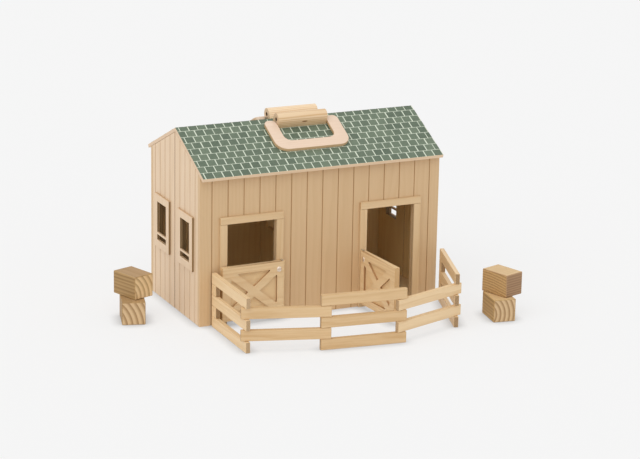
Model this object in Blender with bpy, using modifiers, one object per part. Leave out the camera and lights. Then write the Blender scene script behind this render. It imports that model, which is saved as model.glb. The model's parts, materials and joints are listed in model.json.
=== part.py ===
"""Toy horse stable.

A two-stall wooden stable whose back half swings open on a hinge at its right
end, with two half doors, a carrying handle on each roof slope, a folding fence
of five panels and four blocks that stand for hay bales.

Metres, +Z up.  The origin is on the ground under the middle of the ridge.
+X runs along the ridge to the right, and -Y is the side with the stalls.
"""
import math

import bmesh
import bpy
from mathutils import Matrix, Vector

# Clearances
PIECE_GAP = 0.0003
SEAM_GAP = 0.0006
CUT_OVERRUN = 0.004
WELD_DISTANCE = 0.00001

# Stable body
STABLE_WIDTH = 0.340
STABLE_DEPTH = 0.1684
WALL_THICKNESS = 0.006
FLOOR_THICKNESS = 0.005
FLOOR_LAP = 0.003
RIDGE_HEIGHT = 0.243
ROOF_SLOPE = math.radians(25.2)
ROOF_THICKNESS = 0.0046
EAVE_OVERHANG = 0.0112

# Plank grooves
GROOVE_WIDTH = 0.0013
LONG_WALL_GROOVES = 15
LONG_WALL_PITCH = 0.02206
LONG_WALL_FIRST_GROOVE = 0.0167
GABLE_GROOVES = 4
GABLE_PITCH = 0.0172

# Stall openings and their trim
STALL_END_INSET = 0.037
STALL_WIDTH = 0.0685
STALL_HEAD_HEIGHT = 0.133
STALL_TRIM_WIDTH = 0.00975
STALL_TRIM_THICKNESS = 0.003

# Gable windows and their frames
WINDOW_CENTRE = 0.040
WINDOW_WIDTH = 0.0305
WINDOW_SILL_HEIGHT = 0.0785
WINDOW_HEAD_HEIGHT = 0.1306
WINDOW_FRAME_WIDTH = 0.010
WINDOW_FRAME_THICKNESS = 0.0025
WINDOW_BAR_HEIGHT = 0.0875
WINDOW_BAR_THICKNESS = 0.003

# Divider inside the back half
DIVIDER_CENTRE = -0.0116
DIVIDER_THICKNESS = 0.006
DIVIDER_TOP_RAIL = 0.0194

# Half doors, each turning on a steel pin through its round end
DOOR_WIDTH = 0.0888
DOOR_THICKNESS = 0.007
DOOR_BOTTOM_HEIGHT = 0.007
DOOR_TOP_HEIGHT = 0.0785
DOOR_PANEL_WIDTH = 0.065
DOOR_PANEL_HEIGHT = 0.0526
DOOR_BRACE_WIDTH = 0.0104
DOOR_RECESS_DEPTH = 0.0028
DOOR_POCKET_RADIUS = 0.001
LEFT_DOOR_REST = math.radians(1.5)
RIGHT_DOOR_REST = math.radians(85.5)
DOOR_PIN_RADIUS = 0.0008
DOOR_LUG_THICKNESS = 0.0008
DOOR_LUG_WIDTH = 0.003

# Ridge blocks and carrying handles, measured down the roof slope
BLOCK_LENGTH = 0.070
BLOCK_WIDTH = 0.0166
BLOCK_CENTRE_DOWN = 0.0127
BLOCK_BORE_RADIUS = 0.0026
HANDLE_INNER_WIDTH = 0.0712
HANDLE_ARM_WIDTH = 0.0165
HANDLE_BAR_WIDTH = 0.0159
HANDLE_THICKNESS = 0.0044
HANDLE_REACH = 0.0549
HANDLE_END_REACH = 0.0026
HANDLE_OUTER_RADIUS = 0.016
HANDLE_INNER_RADIUS = 0.010
HANDLE_END_RADIUS = 0.007
HANDLE_SWING_CLEARANCE = 0.0004
HANDLE_PIVOT_DOWN = 0.0137
HANDLE_EDGE_BEVEL = 0.0006
ROD_RADIUS = 0.001
ROD_ARM_DEPTH = 0.012

# Hinge at the right end
END_HINGE_BOTTOM = 0.020
END_HINGE_LENGTH = 0.180
END_HINGE_KNUCKLES = 9
END_HINGE_LEAF_WIDTH = 0.0105
END_HINGE_LEAF_THICKNESS = 0.001
END_HINGE_WEB_THICKNESS = 0.0005
END_HINGE_WEB_REACH = 0.0008
END_HINGE_WRAP = math.radians(150)
END_HINGE_KNUCKLE_RADIUS = 0.002
END_HINGE_PIN_RADIUS = 0.0008

# Fence
PANEL_LENGTH = 0.1135
RAIL_THICKNESS = 0.0058
RAIL_PITCH = 0.01443
PIN_INSET = 0.00684
SPACER_LENGTH = 0.0137
FENCE_PIN_RADIUS = 0.0011
FENCE_PIN_END_DEPTH = 0.008
RAIL_EDGE_BEVEL = 0.0004
FENCE_FIXED_PANEL = 3
FENCE_HINGE_INSET = 0.1131
FENCE_HINGE_FORWARD = 0.1384
FENCE_YAWS = [math.radians(yaw) for yaw in (-90.65, -16.82, -6.39, 18.23, 72.53)]
FENCE_END_PANELS = (1, len(FENCE_YAWS))
FENCE_TOP_LAYER = 4
THREE_RAILS = {0: "bottom_rail", 2: "middle_rail", FENCE_TOP_LAYER: "top_rail"}
TWO_RAILS = {1: "lower_rail", 3: "upper_rail"}
END_SPACERS = {1: "lower_spacer", 3: "upper_spacer"}

# Hay bales, with their places out from the end wall and along it or ahead of its corner
BALE_LENGTH = 0.043
BALE_WIDTH = 0.030
BALE_HEIGHT = 0.030
BALE_EDGE_BEVEL = 0.0007
LEFT_LOWER_BALE_OUT, LEFT_LOWER_BALE_ALONG = 0.0682, -0.0244
LEFT_UPPER_BALE_OUT, LEFT_UPPER_BALE_ALONG = 0.0625, -0.0120
RIGHT_LOWER_BALE_OUT, RIGHT_LOWER_BALE_AHEAD = 0.0372, 0.1072
RIGHT_UPPER_BALE_OUT, RIGHT_UPPER_BALE_AHEAD = 0.0455, 0.0985
LEFT_LOWER_BALE_TURN = math.radians(-16.1)
LEFT_UPPER_BALE_TURN = math.radians(18.9)
RIGHT_LOWER_BALE_TURN = math.radians(-8.6)
RIGHT_UPPER_BALE_TURN = math.radians(18.1)

# Facets on round shapes
ROUND_STEPS = 20
CORNER_STEPS = 6

# Sizes that follow from the ones above
HALF_WIDTH = STABLE_WIDTH / 2
HALF_DEPTH = STABLE_DEPTH / 2
INNER_HALF_WIDTH = HALF_WIDTH - WALL_THICKNESS
INNER_HALF_DEPTH = HALF_DEPTH - WALL_THICKNESS
DIVIDER_HEIGHT = WINDOW_HEAD_HEIGHT + DIVIDER_TOP_RAIL
SEAM_FACE = SEAM_GAP / 2
ROOF_LENGTH = (HALF_DEPTH + EAVE_OVERHANG) / math.cos(ROOF_SLOPE)
TRIM_FACE = HALF_DEPTH + PIECE_GAP + STALL_TRIM_THICKNESS
DOOR_BACK_FACE = TRIM_FACE + PIECE_GAP
DOOR_AXIS_AHEAD = DOOR_BACK_FACE + DOOR_THICKNESS / 2
STALL_OUTER_EDGE = HALF_WIDTH - STALL_END_INSET
STALL_INNER_EDGE = STALL_OUTER_EDGE - STALL_WIDTH
DOOR_AXIS_OFFSET = STALL_INNER_EDGE - STALL_TRIM_WIDTH + DOOR_THICKNESS / 2
BLOCK_RADIUS = BLOCK_WIDTH / 2
HANDLE_PIVOT_LIFT = math.hypot(HANDLE_END_REACH, HANDLE_THICKNESS / 2) + HANDLE_SWING_CLEARANCE
HANDLE_DROP = HANDLE_PIVOT_LIFT - HANDLE_THICKNESS / 2 - PIECE_GAP
HANDLE_REST_TILT = math.atan(HANDLE_DROP / HANDLE_REACH)
END_HINGE_AXIS = HALF_WIDTH + PIECE_GAP + WINDOW_FRAME_THICKNESS + PIECE_GAP
PIN_SPACING = PANEL_LENGTH - 2 * PIN_INSET
RAIL_HEIGHT = RAIL_PITCH - PIECE_GAP
FRONT, BACK = -1, 1
LEFT, RIGHT = -1, 1

# Finishes: colour, roughness, metallic
PALE_PINE = ((0.75, 0.56, 0.38), 0.62, 0.0)
WALL_PLY = ((0.60, 0.41, 0.22), 0.62, 0.0)
GABLE_PLY = ((0.76, 0.56, 0.40), 0.62, 0.0)
FENCE_WOOD = ((0.71, 0.49, 0.25), 0.60, 0.0)
HANDLE_WOOD = ((0.86, 0.66, 0.48), 0.55, 0.0)
BALE_WOOD = ((0.43, 0.26, 0.10), 0.65, 0.0)
ROOF_GREEN = ((0.12, 0.20, 0.15), 0.60, 0.0)
BRIGHT_STEEL = ((0.75, 0.74, 0.72), 0.30, 1.0)
BRASS_PLATE = ((0.70, 0.52, 0.24), 0.35, 1.0)


def clear_scene():
    """Remove whatever the file holds, so the script can run again."""
    for piece in list(bpy.data.objects):
        bpy.data.objects.remove(piece, do_unlink=True)


def add_collection(name):
    """Make a collection and link it to the scene."""
    group = bpy.data.collections.new(name)
    bpy.context.scene.collection.children.link(group)
    return group


clear_scene()
STABLE = add_collection("toy_horse_stable")
CUTTERS = add_collection("cutters")


def add_object(name, mesh, group=STABLE, parent=None):
    """Link a mesh as a named object, under its parent if it has one."""
    piece = bpy.data.objects.new(name, mesh)
    group.objects.link(piece)
    piece.parent = parent
    return piece


def add_pivot(name, place, turn=0.0, axis="Z", parent=None):
    """An empty on a joint's axis, which carries the pieces that turn there."""
    pivot = bpy.data.objects.new(name, None)
    STABLE.objects.link(pivot)
    pivot.parent = parent
    pivot.location = place
    pivot.rotation_euler = Matrix.Rotation(turn, 4, axis).to_euler()
    return pivot


def finish(piece, wood):
    """Give a piece a material of its own."""
    colour, roughness, metallic = wood
    material = bpy.data.materials.new(piece.name)
    material.use_nodes = True
    shader = material.node_tree.nodes["Principled BSDF"]
    shader.inputs["Base Color"].default_value = (*colour, 1)
    shader.inputs["Roughness"].default_value = roughness
    shader.inputs["Metallic"].default_value = metallic
    piece.data.materials.append(material)
    return piece


def mesh_from(shape, name):
    """Turn a bmesh into a mesh with outward faces."""
    bmesh.ops.recalc_face_normals(shape, faces=shape.faces)
    mesh = bpy.data.meshes.new(name)
    shape.to_mesh(mesh)
    shape.free()
    return mesh


def board(name, low, high, wood, parent=None):
    """A rectangular board between two corners, with its origin at its middle."""
    low, high = Vector(low), Vector(high)
    size = high - low
    shape = bmesh.new()
    bmesh.ops.create_cube(shape, size=1)
    bmesh.ops.scale(shape, vec=size, verts=shape.verts)
    piece = add_object(name, mesh_from(shape, name), STABLE, parent)
    piece.location = (low + high) / 2
    return finish(piece, wood)


def round_bar(radius, length, turn=None):
    """A cylinder about the origin, along Z unless it is turned."""
    shape = bmesh.new()
    bmesh.ops.create_cone(shape, cap_ends=True, segments=ROUND_STEPS,
                          radius1=radius, radius2=radius, depth=length)
    if turn:
        bmesh.ops.rotate(shape, verts=shape.verts, matrix=turn)
    return shape


def as_cutter(name, mesh, parent=None):
    """A guide that cuts or joins other pieces and isn't a piece itself."""
    cutter = add_object(name, mesh, CUTTERS, parent)
    cutter.hide_render = True
    cutter.display_type = "WIRE"
    return cutter


def box_cutter(name, corners, parent=None):
    """One cutter holding a box for each pair of corners."""
    shape = bmesh.new()
    for low, high in corners:
        low, high = Vector(low), Vector(high)
        place = Matrix.Translation((low + high) / 2) @ Matrix.Diagonal((*(high - low), 1))
        bmesh.ops.create_cube(shape, size=1, matrix=place)
    return as_cutter(name, mesh_from(shape, name), parent)


def combine(piece, tool, operation="DIFFERENCE"):
    """Cut a piece by a tool, or join the tool to it."""
    step = piece.modifiers.new(tool.name, "BOOLEAN")
    step.operation = operation
    step.solver = "EXACT"
    step.object = tool


def soften(piece, width):
    """Break the sharp edges of a piece."""
    step = piece.modifiers.new("broken_edges", "BEVEL")
    step.width = width
    step.segments = 1
    step.limit_method = "ANGLE"


def arc(centre, radius, start, end, steps=CORNER_STEPS):
    """Points along an arc, from one angle to another."""
    points = []
    for index in range(steps + 1):
        angle = start + (end - start) * index / steps
        points.append((centre[0] + radius * math.cos(angle), centre[1] + radius * math.sin(angle)))
    return points


def plate_mesh(name, outline, thickness, holes=()):
    """A flat plate in the XY plane from a filled 2D curve, made a closed mesh."""
    curve = bpy.data.curves.new(name, "CURVE")
    curve.dimensions = "2D"
    curve.fill_mode = "BOTH"
    curve.extrude = thickness / 2
    for loop in (outline, *holes):
        spline = curve.splines.new("POLY")
        spline.points.add(len(loop) - 1)
        spline.use_cyclic_u = True
        for point, (across, up) in zip(spline.points, loop):
            point.co = (across, up, 0, 1)
    draft = bpy.data.objects.new(name, curve)
    CUTTERS.objects.link(draft)
    view = bpy.context.evaluated_depsgraph_get()
    mesh = bpy.data.meshes.new_from_object(draft.evaluated_get(view))
    bpy.data.objects.remove(draft, do_unlink=True)
    shape = bmesh.new()
    shape.from_mesh(mesh)
    bmesh.ops.remove_doubles(shape, verts=shape.verts, dist=WELD_DISTANCE)
    return mesh_from(shape, name)


def rectangle(low, high):
    """The four corners of an upright rectangle."""
    return [(low[0], low[1]), (high[0], low[1]), (high[0], high[1]), (low[0], high[1])]


def slope_frame(side, down=0.0, lift=0.0, tilt=0.0):
    """Where a piece on one roof slope sits, and how it is turned.

    The frame's X runs along the ridge, its Z stands square to the slope, and
    its Y runs down the back slope or up the front one.
    """
    turn = Matrix.Rotation(-side * ROOF_SLOPE, 4, "X")
    place = Matrix.Translation((0, 0, RIDGE_HEIGHT)) @ turn @ Matrix.Translation((0, side * down, lift))
    return place @ Matrix.Rotation(-side * tilt, 4, "X")


def roof_space_cutter(side):
    """The space above the walls that the roof takes up, on one side."""
    reach = ROOF_LENGTH + CUT_OVERRUN
    across = HALF_WIDTH + CUT_OVERRUN
    bottom = -ROOF_THICKNESS - PIECE_GAP
    ends = sorted((-side * reach, side * reach))
    space = span(-across, across, ends, (bottom, reach))
    cutter = box_cutter(side_name(side, "roof_space"), [space])
    cutter.matrix_world = slope_frame(side)
    return cutter


def side_name(side, word):
    """Name a piece of the front or the back half."""
    return ("front_" if side == FRONT else "back_") + word


def hand_name(hand, word):
    """Name a piece on the left or the right."""
    return ("left_" if hand == LEFT else "right_") + word


def ordered(first, second):
    """Put two numbers in rising order."""
    return (first, second) if first < second else (second, first)


def span(low, high, *bounds):
    """Corners of a box from two X values, then pairs of Y and Z bounds."""
    (y_low, y_high), (z_low, z_high) = bounds
    return (low, y_low, z_low), (high, y_high, z_high)


def groove_cutter(name, places, bottom, top):
    """Square bars set on edge, which cut V grooves down the face of a wall."""
    shape = bmesh.new()
    edge = GROOVE_WIDTH / math.sqrt(2)
    quarter = Matrix.Rotation(math.pi / 4, 4, "Z")
    for across, along in places:
        place = Matrix.Translation((across, along, (bottom + top) / 2)) @ quarter
        size = Matrix.Diagonal((edge, edge, top - bottom, 1))
        bmesh.ops.create_cube(shape, size=1, matrix=place @ size)
    return as_cutter(name, mesh_from(shape, name))


def long_wall(side, roof_space):
    """The front wall with its two stall openings, or the plain back wall."""
    name = side_name(side, "wall")
    y_span = ordered(side * INNER_HALF_DEPTH, side * HALF_DEPTH)
    wall = board(name, *span(-HALF_WIDTH, HALF_WIDTH, y_span, (0, RIDGE_HEIGHT)), WALL_PLY)
    combine(wall, roof_space)
    if side == FRONT:
        y_cut = (y_span[0] - CUT_OVERRUN, y_span[1] + CUT_OVERRUN)
        z_cut = (-CUT_OVERRUN, STALL_HEAD_HEIGHT)
        openings = []
        for hand in (LEFT, RIGHT):
            x_cut = ordered(hand * STALL_INNER_EDGE, hand * STALL_OUTER_EDGE)
            openings.append(span(*x_cut, y_cut, z_cut))
        combine(wall, box_cutter("stall_openings", openings))
    places = []
    for index in range(LONG_WALL_GROOVES):
        across = LONG_WALL_FIRST_GROOVE + index * LONG_WALL_PITCH - HALF_WIDTH
        places.append((across, side * HALF_DEPTH))
    grooves = groove_cutter(side_name(side, "wall_grooves"), places, -CUT_OVERRUN, RIDGE_HEIGHT)
    combine(wall, grooves)
    return wall


def gable(side, hand, roof_space):
    """One half of an end wall, with its window."""
    name = side_name(side, hand_name(hand, "gable"))
    x_span = ordered(hand * INNER_HALF_WIDTH, hand * HALF_WIDTH)
    y_span = ordered(side * SEAM_FACE, side * (INNER_HALF_DEPTH - PIECE_GAP))
    wall = board(name, *span(*x_span, y_span, (0, RIDGE_HEIGHT)), GABLE_PLY)
    combine(wall, roof_space)
    x_cut = (x_span[0] - CUT_OVERRUN, x_span[1] + CUT_OVERRUN)
    y_cut = ordered(side * (WINDOW_CENTRE - WINDOW_WIDTH / 2), side * (WINDOW_CENTRE + WINDOW_WIDTH / 2))
    window = span(*x_cut, y_cut, (WINDOW_SILL_HEIGHT, WINDOW_HEAD_HEIGHT))
    combine(wall, box_cutter(name + "_window", [window]))
    places = []
    for index in range(GABLE_GROOVES):
        places.append((hand * HALF_WIDTH, side * GABLE_PITCH * (index + 1)))
    combine(wall, groove_cutter(name + "_grooves", places, -CUT_OVERRUN, RIDGE_HEIGHT))
    return wall


def window_frame(side, hand):
    """The four-sided frame round a gable window, with its low bar."""
    name = side_name(side, hand_name(hand, "window_frame"))
    half = WINDOW_WIDTH / 2
    rim = WINDOW_FRAME_WIDTH
    outer = rectangle((-half - rim, WINDOW_SILL_HEIGHT - rim), (half + rim, WINDOW_HEAD_HEIGHT + rim))
    bar_low = WINDOW_BAR_HEIGHT - WINDOW_BAR_THICKNESS / 2
    bar_high = WINDOW_BAR_HEIGHT + WINDOW_BAR_THICKNESS / 2
    lower = rectangle((-half, WINDOW_SILL_HEIGHT), (half, bar_low))
    upper = rectangle((-half, bar_high), (half, WINDOW_HEAD_HEIGHT))
    frame = add_object(name, plate_mesh(name, outer, WINDOW_FRAME_THICKNESS, (lower, upper)))
    across = HALF_WIDTH + PIECE_GAP + WINDOW_FRAME_THICKNESS / 2
    frame.rotation_euler = (math.pi / 2, 0, math.pi / 2)
    frame.location = (hand * across, side * WINDOW_CENTRE, 0)
    return finish(frame, GABLE_PLY)


def floor_board(side):
    """The floor of one half: the front one runs a little past the ridge line."""
    edge = INNER_HALF_WIDTH - PIECE_GAP
    seam = FLOOR_LAP + side * SEAM_FACE
    y_span = ordered(seam, side * (INNER_HALF_DEPTH - PIECE_GAP))
    corners = span(-edge, edge, y_span, (0, FLOOR_THICKNESS))
    return board(side_name(side, "floor"), *corners, PALE_PINE)


def roof_panel(side):
    """One roof slope, mitred at the ridge."""
    name = side_name(side, "roof")
    y_span = ordered(-side * ROOF_THICKNESS, side * ROOF_LENGTH)
    corners = span(-HALF_WIDTH, HALF_WIDTH, y_span, (-ROOF_THICKNESS, 0))
    roof = board(name, *corners, ROOF_GREEN)
    roof.matrix_world = slope_frame(side) @ Matrix.Translation(roof.location)
    across = HALF_WIDTH + CUT_OVERRUN
    y_cut = ordered(side * SEAM_FACE, -side * HALF_DEPTH)
    beyond = span(-across, across, y_cut, (0, RIDGE_HEIGHT + HALF_DEPTH))
    combine(roof, box_cutter(side_name(side, "seam"), [beyond]))
    return roof


def ridge_block(side):
    """The round-topped block near the ridge that carries a handle's rod."""
    name = side_name(side, "ridge_block")
    crown = arc((0, BLOCK_RADIUS), BLOCK_RADIUS, 0, math.pi, 2 * CORNER_STEPS)
    outline = [(-BLOCK_RADIUS, 0), (BLOCK_RADIUS, 0)] + crown
    block = add_object(name, plate_mesh(name, outline, BLOCK_LENGTH))
    stand = Matrix.Rotation(math.pi / 2, 4, "Z") @ Matrix.Rotation(math.pi / 2, 4, "X")
    block.matrix_world = slope_frame(side, BLOCK_CENTRE_DOWN, PIECE_GAP) @ stand
    along_ridge = Matrix.Rotation(math.pi / 2, 3, "Y")
    length = BLOCK_LENGTH + 2 * CUT_OVERRUN
    bore = as_cutter(name + "_bore", mesh_from(round_bar(BLOCK_BORE_RADIUS, length, along_ridge), name))
    bore.matrix_world = slope_frame(side, BLOCK_CENTRE_DOWN, BLOCK_RADIUS + PIECE_GAP)
    combine(block, bore)
    hole = as_cutter(name + "_rod_hole",
                     mesh_from(round_bar(ROD_RADIUS + PIECE_GAP, length, along_ridge), name))
    hole.matrix_world = slope_frame(side, HANDLE_PIVOT_DOWN, HANDLE_PIVOT_LIFT)
    combine(block, hole)
    return finish(block, PALE_PINE)


def handle_outline():
    """The flat U of a handle: its arms point at the ridge, its pivot is at zero."""
    outer = HANDLE_INNER_WIDTH / 2 + HANDLE_ARM_WIDTH
    inner = HANDLE_INNER_WIDTH / 2
    bar = HANDLE_REACH - HANDLE_BAR_WIDTH
    big, small, end = HANDLE_OUTER_RADIUS, HANDLE_INNER_RADIUS, HANDLE_END_RADIUS
    turn = math.pi / 2
    rise = end - HANDLE_END_REACH
    outline = arc((inner + end, rise), end, 2 * turn, 3 * turn)
    outline += arc((outer - end, rise), end, 3 * turn, 4 * turn)
    outline += arc((outer - big, HANDLE_REACH - big), big, 0, turn)
    outline += arc((big - outer, HANDLE_REACH - big), big, turn, 2 * turn)
    outline += arc((end - outer, rise), end, 2 * turn, 3 * turn)
    outline += arc((-inner - end, rise), end, 3 * turn, 4 * turn)
    outline += arc((small - inner, bar - small), small, 2 * turn, turn)
    outline += arc((inner - small, bar - small), small, turn, 0)
    return outline


def handle(side):
    """A carrying handle with a rod through the ridge block, lying on its slope."""
    name = side_name(side, "handle")
    axis = slope_frame(side, HANDLE_PIVOT_DOWN, HANDLE_PIVOT_LIFT, HANDLE_REST_TILT)
    outline = handle_outline()
    if side == FRONT:
        outline = [(across, -down) for across, down in reversed(outline)]
    grip = add_object(name, plate_mesh(name, outline, HANDLE_THICKNESS))
    grip.matrix_world = axis
    soften(grip, HANDLE_EDGE_BEVEL)
    along_ridge = Matrix.Rotation(math.pi / 2, 3, "Y")
    half = BLOCK_LENGTH / 2 + ROD_ARM_DEPTH
    length = 2 * (half + PIECE_GAP)
    hole = as_cutter(name + "_rod_hole",
                     mesh_from(round_bar(ROD_RADIUS + PIECE_GAP, length, along_ridge), name))
    hole.matrix_world = axis
    combine(grip, hole)
    finish(grip, HANDLE_WOOD)
    rod_name = name + "_rod"
    rod = add_object(rod_name, mesh_from(round_bar(ROD_RADIUS, 2 * half, along_ridge), rod_name))
    rod.matrix_world = axis
    finish(rod, BRIGHT_STEEL)


def stall_trim(hand):
    """The head and the two stiles round one stall opening."""
    y_span = (-TRIM_FACE, -HALF_DEPTH - PIECE_GAP)
    outer_edge = STALL_OUTER_EDGE + STALL_TRIM_WIDTH
    inner_edge = STALL_INNER_EDGE - STALL_TRIM_WIDTH
    head_bottom = STALL_HEAD_HEIGHT + PIECE_GAP
    head_x = ordered(hand * inner_edge, hand * outer_edge)
    head = span(*head_x, y_span, (head_bottom, STALL_HEAD_HEIGHT + STALL_TRIM_WIDTH))
    board(hand_name(hand, "stall_head"), *head, PALE_PINE)
    outer_x = ordered(hand * STALL_OUTER_EDGE, hand * outer_edge)
    board(hand_name(hand, "outer_stile"), *span(*outer_x, y_span, (0, STALL_HEAD_HEIGHT)), PALE_PINE)
    inner_x = ordered(hand * inner_edge, hand * STALL_INNER_EDGE)
    board(hand_name(hand, "inner_stile"), *span(*inner_x, y_span, (0, STALL_HEAD_HEIGHT)), PALE_PINE)


def door_place(hand):
    """The point on the floor under a door's pin."""
    return Vector((hand * DOOR_AXIS_OFFSET, -DOOR_AXIS_AHEAD, 0))


def rounded(corners, radius):
    """An outline with each of its corners turned into an arc."""
    outline = []
    for index, corner in enumerate(corners):
        corner = Vector(corner)
        before = (Vector(corners[index - 1]) - corner).normalized()
        after = (Vector(corners[(index + 1) % len(corners)]) - corner).normalized()
        half = before.angle(after) / 2
        centre = corner + (before + after).normalized() * radius / math.sin(half)
        start = corner + before * radius / math.tan(half) - centre
        stop = corner + after * radius / math.tan(half) - centre
        first = math.atan2(start.y, start.x)
        swing = math.remainder(math.atan2(stop.y, stop.x) - first, 2 * math.pi)
        outline += arc(centre, radius, first, first + swing, CORNER_STEPS // 2)
    return outline


def door_recess_cutter(hand, parent):
    """Four triangular pockets that leave an X brace standing in the door's face."""
    half_w, half_h = DOOR_PANEL_WIDTH / 2, DOOR_PANEL_HEIGHT / 2
    lean = math.atan2(half_h, half_w)
    rise = DOOR_BRACE_WIDTH / 2 / math.cos(lean)
    run = DOOR_BRACE_WIDTH / 2 / math.sin(lean)
    middle = (hand * (DOOR_WIDTH - DOOR_THICKNESS) / 2, (DOOR_BOTTOM_HEIGHT + DOOR_TOP_HEIGHT) / 2)
    triangles = []
    for sign in (-1, 1):
        end_w, end_h = sign * half_w, sign * half_h
        triangles.append([(run - half_w, end_h), (half_w - run, end_h), (0, sign * rise)])
        triangles.append([(end_w, rise - half_h), (end_w, half_h - rise), (sign * run, 0)])
    shape = bmesh.new()
    upright = Matrix.Translation((0, -DOOR_THICKNESS / 2, 0)) @ Matrix.Rotation(math.pi / 2, 4, "X")
    for index, triangle in enumerate(triangles):
        outline = [(middle[0] + across, middle[1] + up) for across, up in triangle]
        outline = rounded(outline, DOOR_POCKET_RADIUS)
        pocket = plate_mesh("door_pocket_%d" % index, outline, 2 * DOOR_RECESS_DEPTH)
        pocket.transform(upright)
        shape.from_mesh(pocket)
        bpy.data.meshes.remove(pocket)
    return as_cutter(hand_name(hand, "door_recess"), mesh_from(shape, "door_recess"), parent)


def half_door(hand, opening):
    """A braced half door with a round end, turned about the pin through that end."""
    name = hand_name(hand, "door")
    pivot = add_pivot(hand_name(hand, "door_pivot"), door_place(hand), -hand * opening)
    end = DOOR_THICKNESS / 2
    free = DOOR_WIDTH - end
    outline = [(free, -end), (free, end)] + arc((0, 0), end, math.pi / 2, 3 * math.pi / 2, 2 * CORNER_STEPS)
    if hand == LEFT:
        outline = [(-across, along) for across, along in reversed(outline)]
    mesh = plate_mesh(name, outline, DOOR_TOP_HEIGHT - DOOR_BOTTOM_HEIGHT)
    mesh.transform(Matrix.Translation((0, 0, (DOOR_BOTTOM_HEIGHT + DOOR_TOP_HEIGHT) / 2)))
    door = add_object(name, mesh, STABLE, pivot)
    combine(door, door_recess_cutter(hand, pivot))
    bore = mesh_from(round_bar(DOOR_PIN_RADIUS + PIECE_GAP, 2 * DOOR_TOP_HEIGHT), "door_bore")
    combine(door, as_cutter(hand_name(hand, "door_bore"), bore, pivot))
    finish(door, PALE_PINE)


def door_pin(hand):
    """The steel pin of a door, with a lug above and below the door that reach the stile."""
    name = hand_name(hand, "door_pin")
    place = door_place(hand)
    reach = DOOR_LUG_THICKNESS / 2
    bottom, top = DOOR_BOTTOM_HEIGHT - PIECE_GAP, DOOR_TOP_HEIGHT + PIECE_GAP
    pin = add_object(name, mesh_from(round_bar(DOOR_PIN_RADIUS, top - bottom + 2 * reach), name))
    pin.location = place + Vector((0, 0, (bottom + top) / 2))
    half = DOOR_LUG_WIDTH / 2
    x_span = (place.x - half, place.x + half)
    y_span = (place.y - half, -DOOR_BACK_FACE)
    lugs = [span(*x_span, y_span, (bottom - DOOR_LUG_THICKNESS, bottom)),
            span(*x_span, y_span, (top, top + DOOR_LUG_THICKNESS))]
    combine(pin, box_cutter(name + "_lugs", lugs), "UNION")
    finish(pin, BRIGHT_STEEL)


def stall_divider():
    """The upright board across the back half, with a window like a gable's."""
    x_span = (DIVIDER_CENTRE - DIVIDER_THICKNESS / 2, DIVIDER_CENTRE + DIVIDER_THICKNESS / 2)
    y_span = (SEAM_FACE, INNER_HALF_DEPTH - PIECE_GAP)
    corners = span(*x_span, y_span, (FLOOR_THICKNESS + PIECE_GAP, DIVIDER_HEIGHT))
    divider = board("stall_divider", *corners, WALL_PLY)
    x_cut = (x_span[0] - CUT_OVERRUN, x_span[1] + CUT_OVERRUN)
    y_cut = (WINDOW_CENTRE - WINDOW_WIDTH / 2, WINDOW_CENTRE + WINDOW_WIDTH / 2)
    window = span(*x_cut, y_cut, (WINDOW_SILL_HEIGHT, WINDOW_HEAD_HEIGHT))
    combine(divider, box_cutter("divider_window", [window]))


def hinge_knuckle(name, side, bottom, top):
    """One knuckle of the end hinge, with the web that joins it to its leaf."""
    leaf_edge = END_HINGE_KNUCKLE_RADIUS + PIECE_GAP + END_HINGE_LEAF_THICKNESS
    leaf_middle = HALF_WIDTH + PIECE_GAP + END_HINGE_LEAF_THICKNESS / 2 - END_HINGE_AXIS
    inner = leaf_middle - END_HINGE_WEB_THICKNESS / 2
    outer = leaf_middle + END_HINGE_WEB_THICKNESS / 2
    outline = [(inner, -leaf_edge), (outer, -leaf_edge), (outer, -END_HINGE_KNUCKLE_RADIUS)]
    outline += arc((0, 0), END_HINGE_KNUCKLE_RADIUS, -math.pi / 2, END_HINGE_WRAP, 3 * CORNER_STEPS)
    outline += [(inner, END_HINGE_WEB_REACH)]
    if side == BACK:
        outline = [(across, -along) for across, along in reversed(outline)]
    knuckle = as_cutter(name, plate_mesh(name, outline, top - bottom))
    knuckle.location = (END_HINGE_AXIS, 0, (bottom + top) / 2)
    return knuckle


def end_hinge():
    """The long hinge on the right end: a leaf on each half, and the pin."""
    step = END_HINGE_LENGTH / END_HINGE_KNUCKLES
    top = END_HINGE_BOTTOM + END_HINGE_LENGTH
    x_span = (HALF_WIDTH + PIECE_GAP, HALF_WIDTH + PIECE_GAP + END_HINGE_LEAF_THICKNESS)
    near = END_HINGE_KNUCKLE_RADIUS + PIECE_GAP
    pin_mesh = mesh_from(round_bar(END_HINGE_PIN_RADIUS, END_HINGE_LENGTH), "end_hinge_pin")
    pin = as_cutter("end_hinge_pin", pin_mesh)
    pin.location = (END_HINGE_AXIS, 0, (END_HINGE_BOTTOM + top) / 2)
    hole_length = END_HINGE_LENGTH + 2 * CUT_OVERRUN
    hole_mesh = mesh_from(round_bar(END_HINGE_PIN_RADIUS + PIECE_GAP, hole_length), "end_hinge_hole")
    hole = as_cutter("end_hinge_hole", hole_mesh)
    hole.location = pin.location
    for side in (FRONT, BACK):
        y_span = ordered(side * near, side * (near + END_HINGE_LEAF_WIDTH))
        name = side_name(side, "hinge_leaf")
        leaf = board(name, *span(*x_span, y_span, (END_HINGE_BOTTOM, top)), BRASS_PLATE)
        for index in range(END_HINGE_KNUCKLES):
            if (index % 2 == 0) == (side == FRONT):
                bottom = END_HINGE_BOTTOM + index * step + PIECE_GAP / 2
                knuckle_name = "%s_knuckle_%d" % (name, index)
                knuckle = hinge_knuckle(knuckle_name, side, bottom, bottom + step - PIECE_GAP)
                combine(leaf, knuckle, "UNION")
        if side == FRONT:
            combine(leaf, pin, "UNION")
        else:
            combine(leaf, hole)


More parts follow.
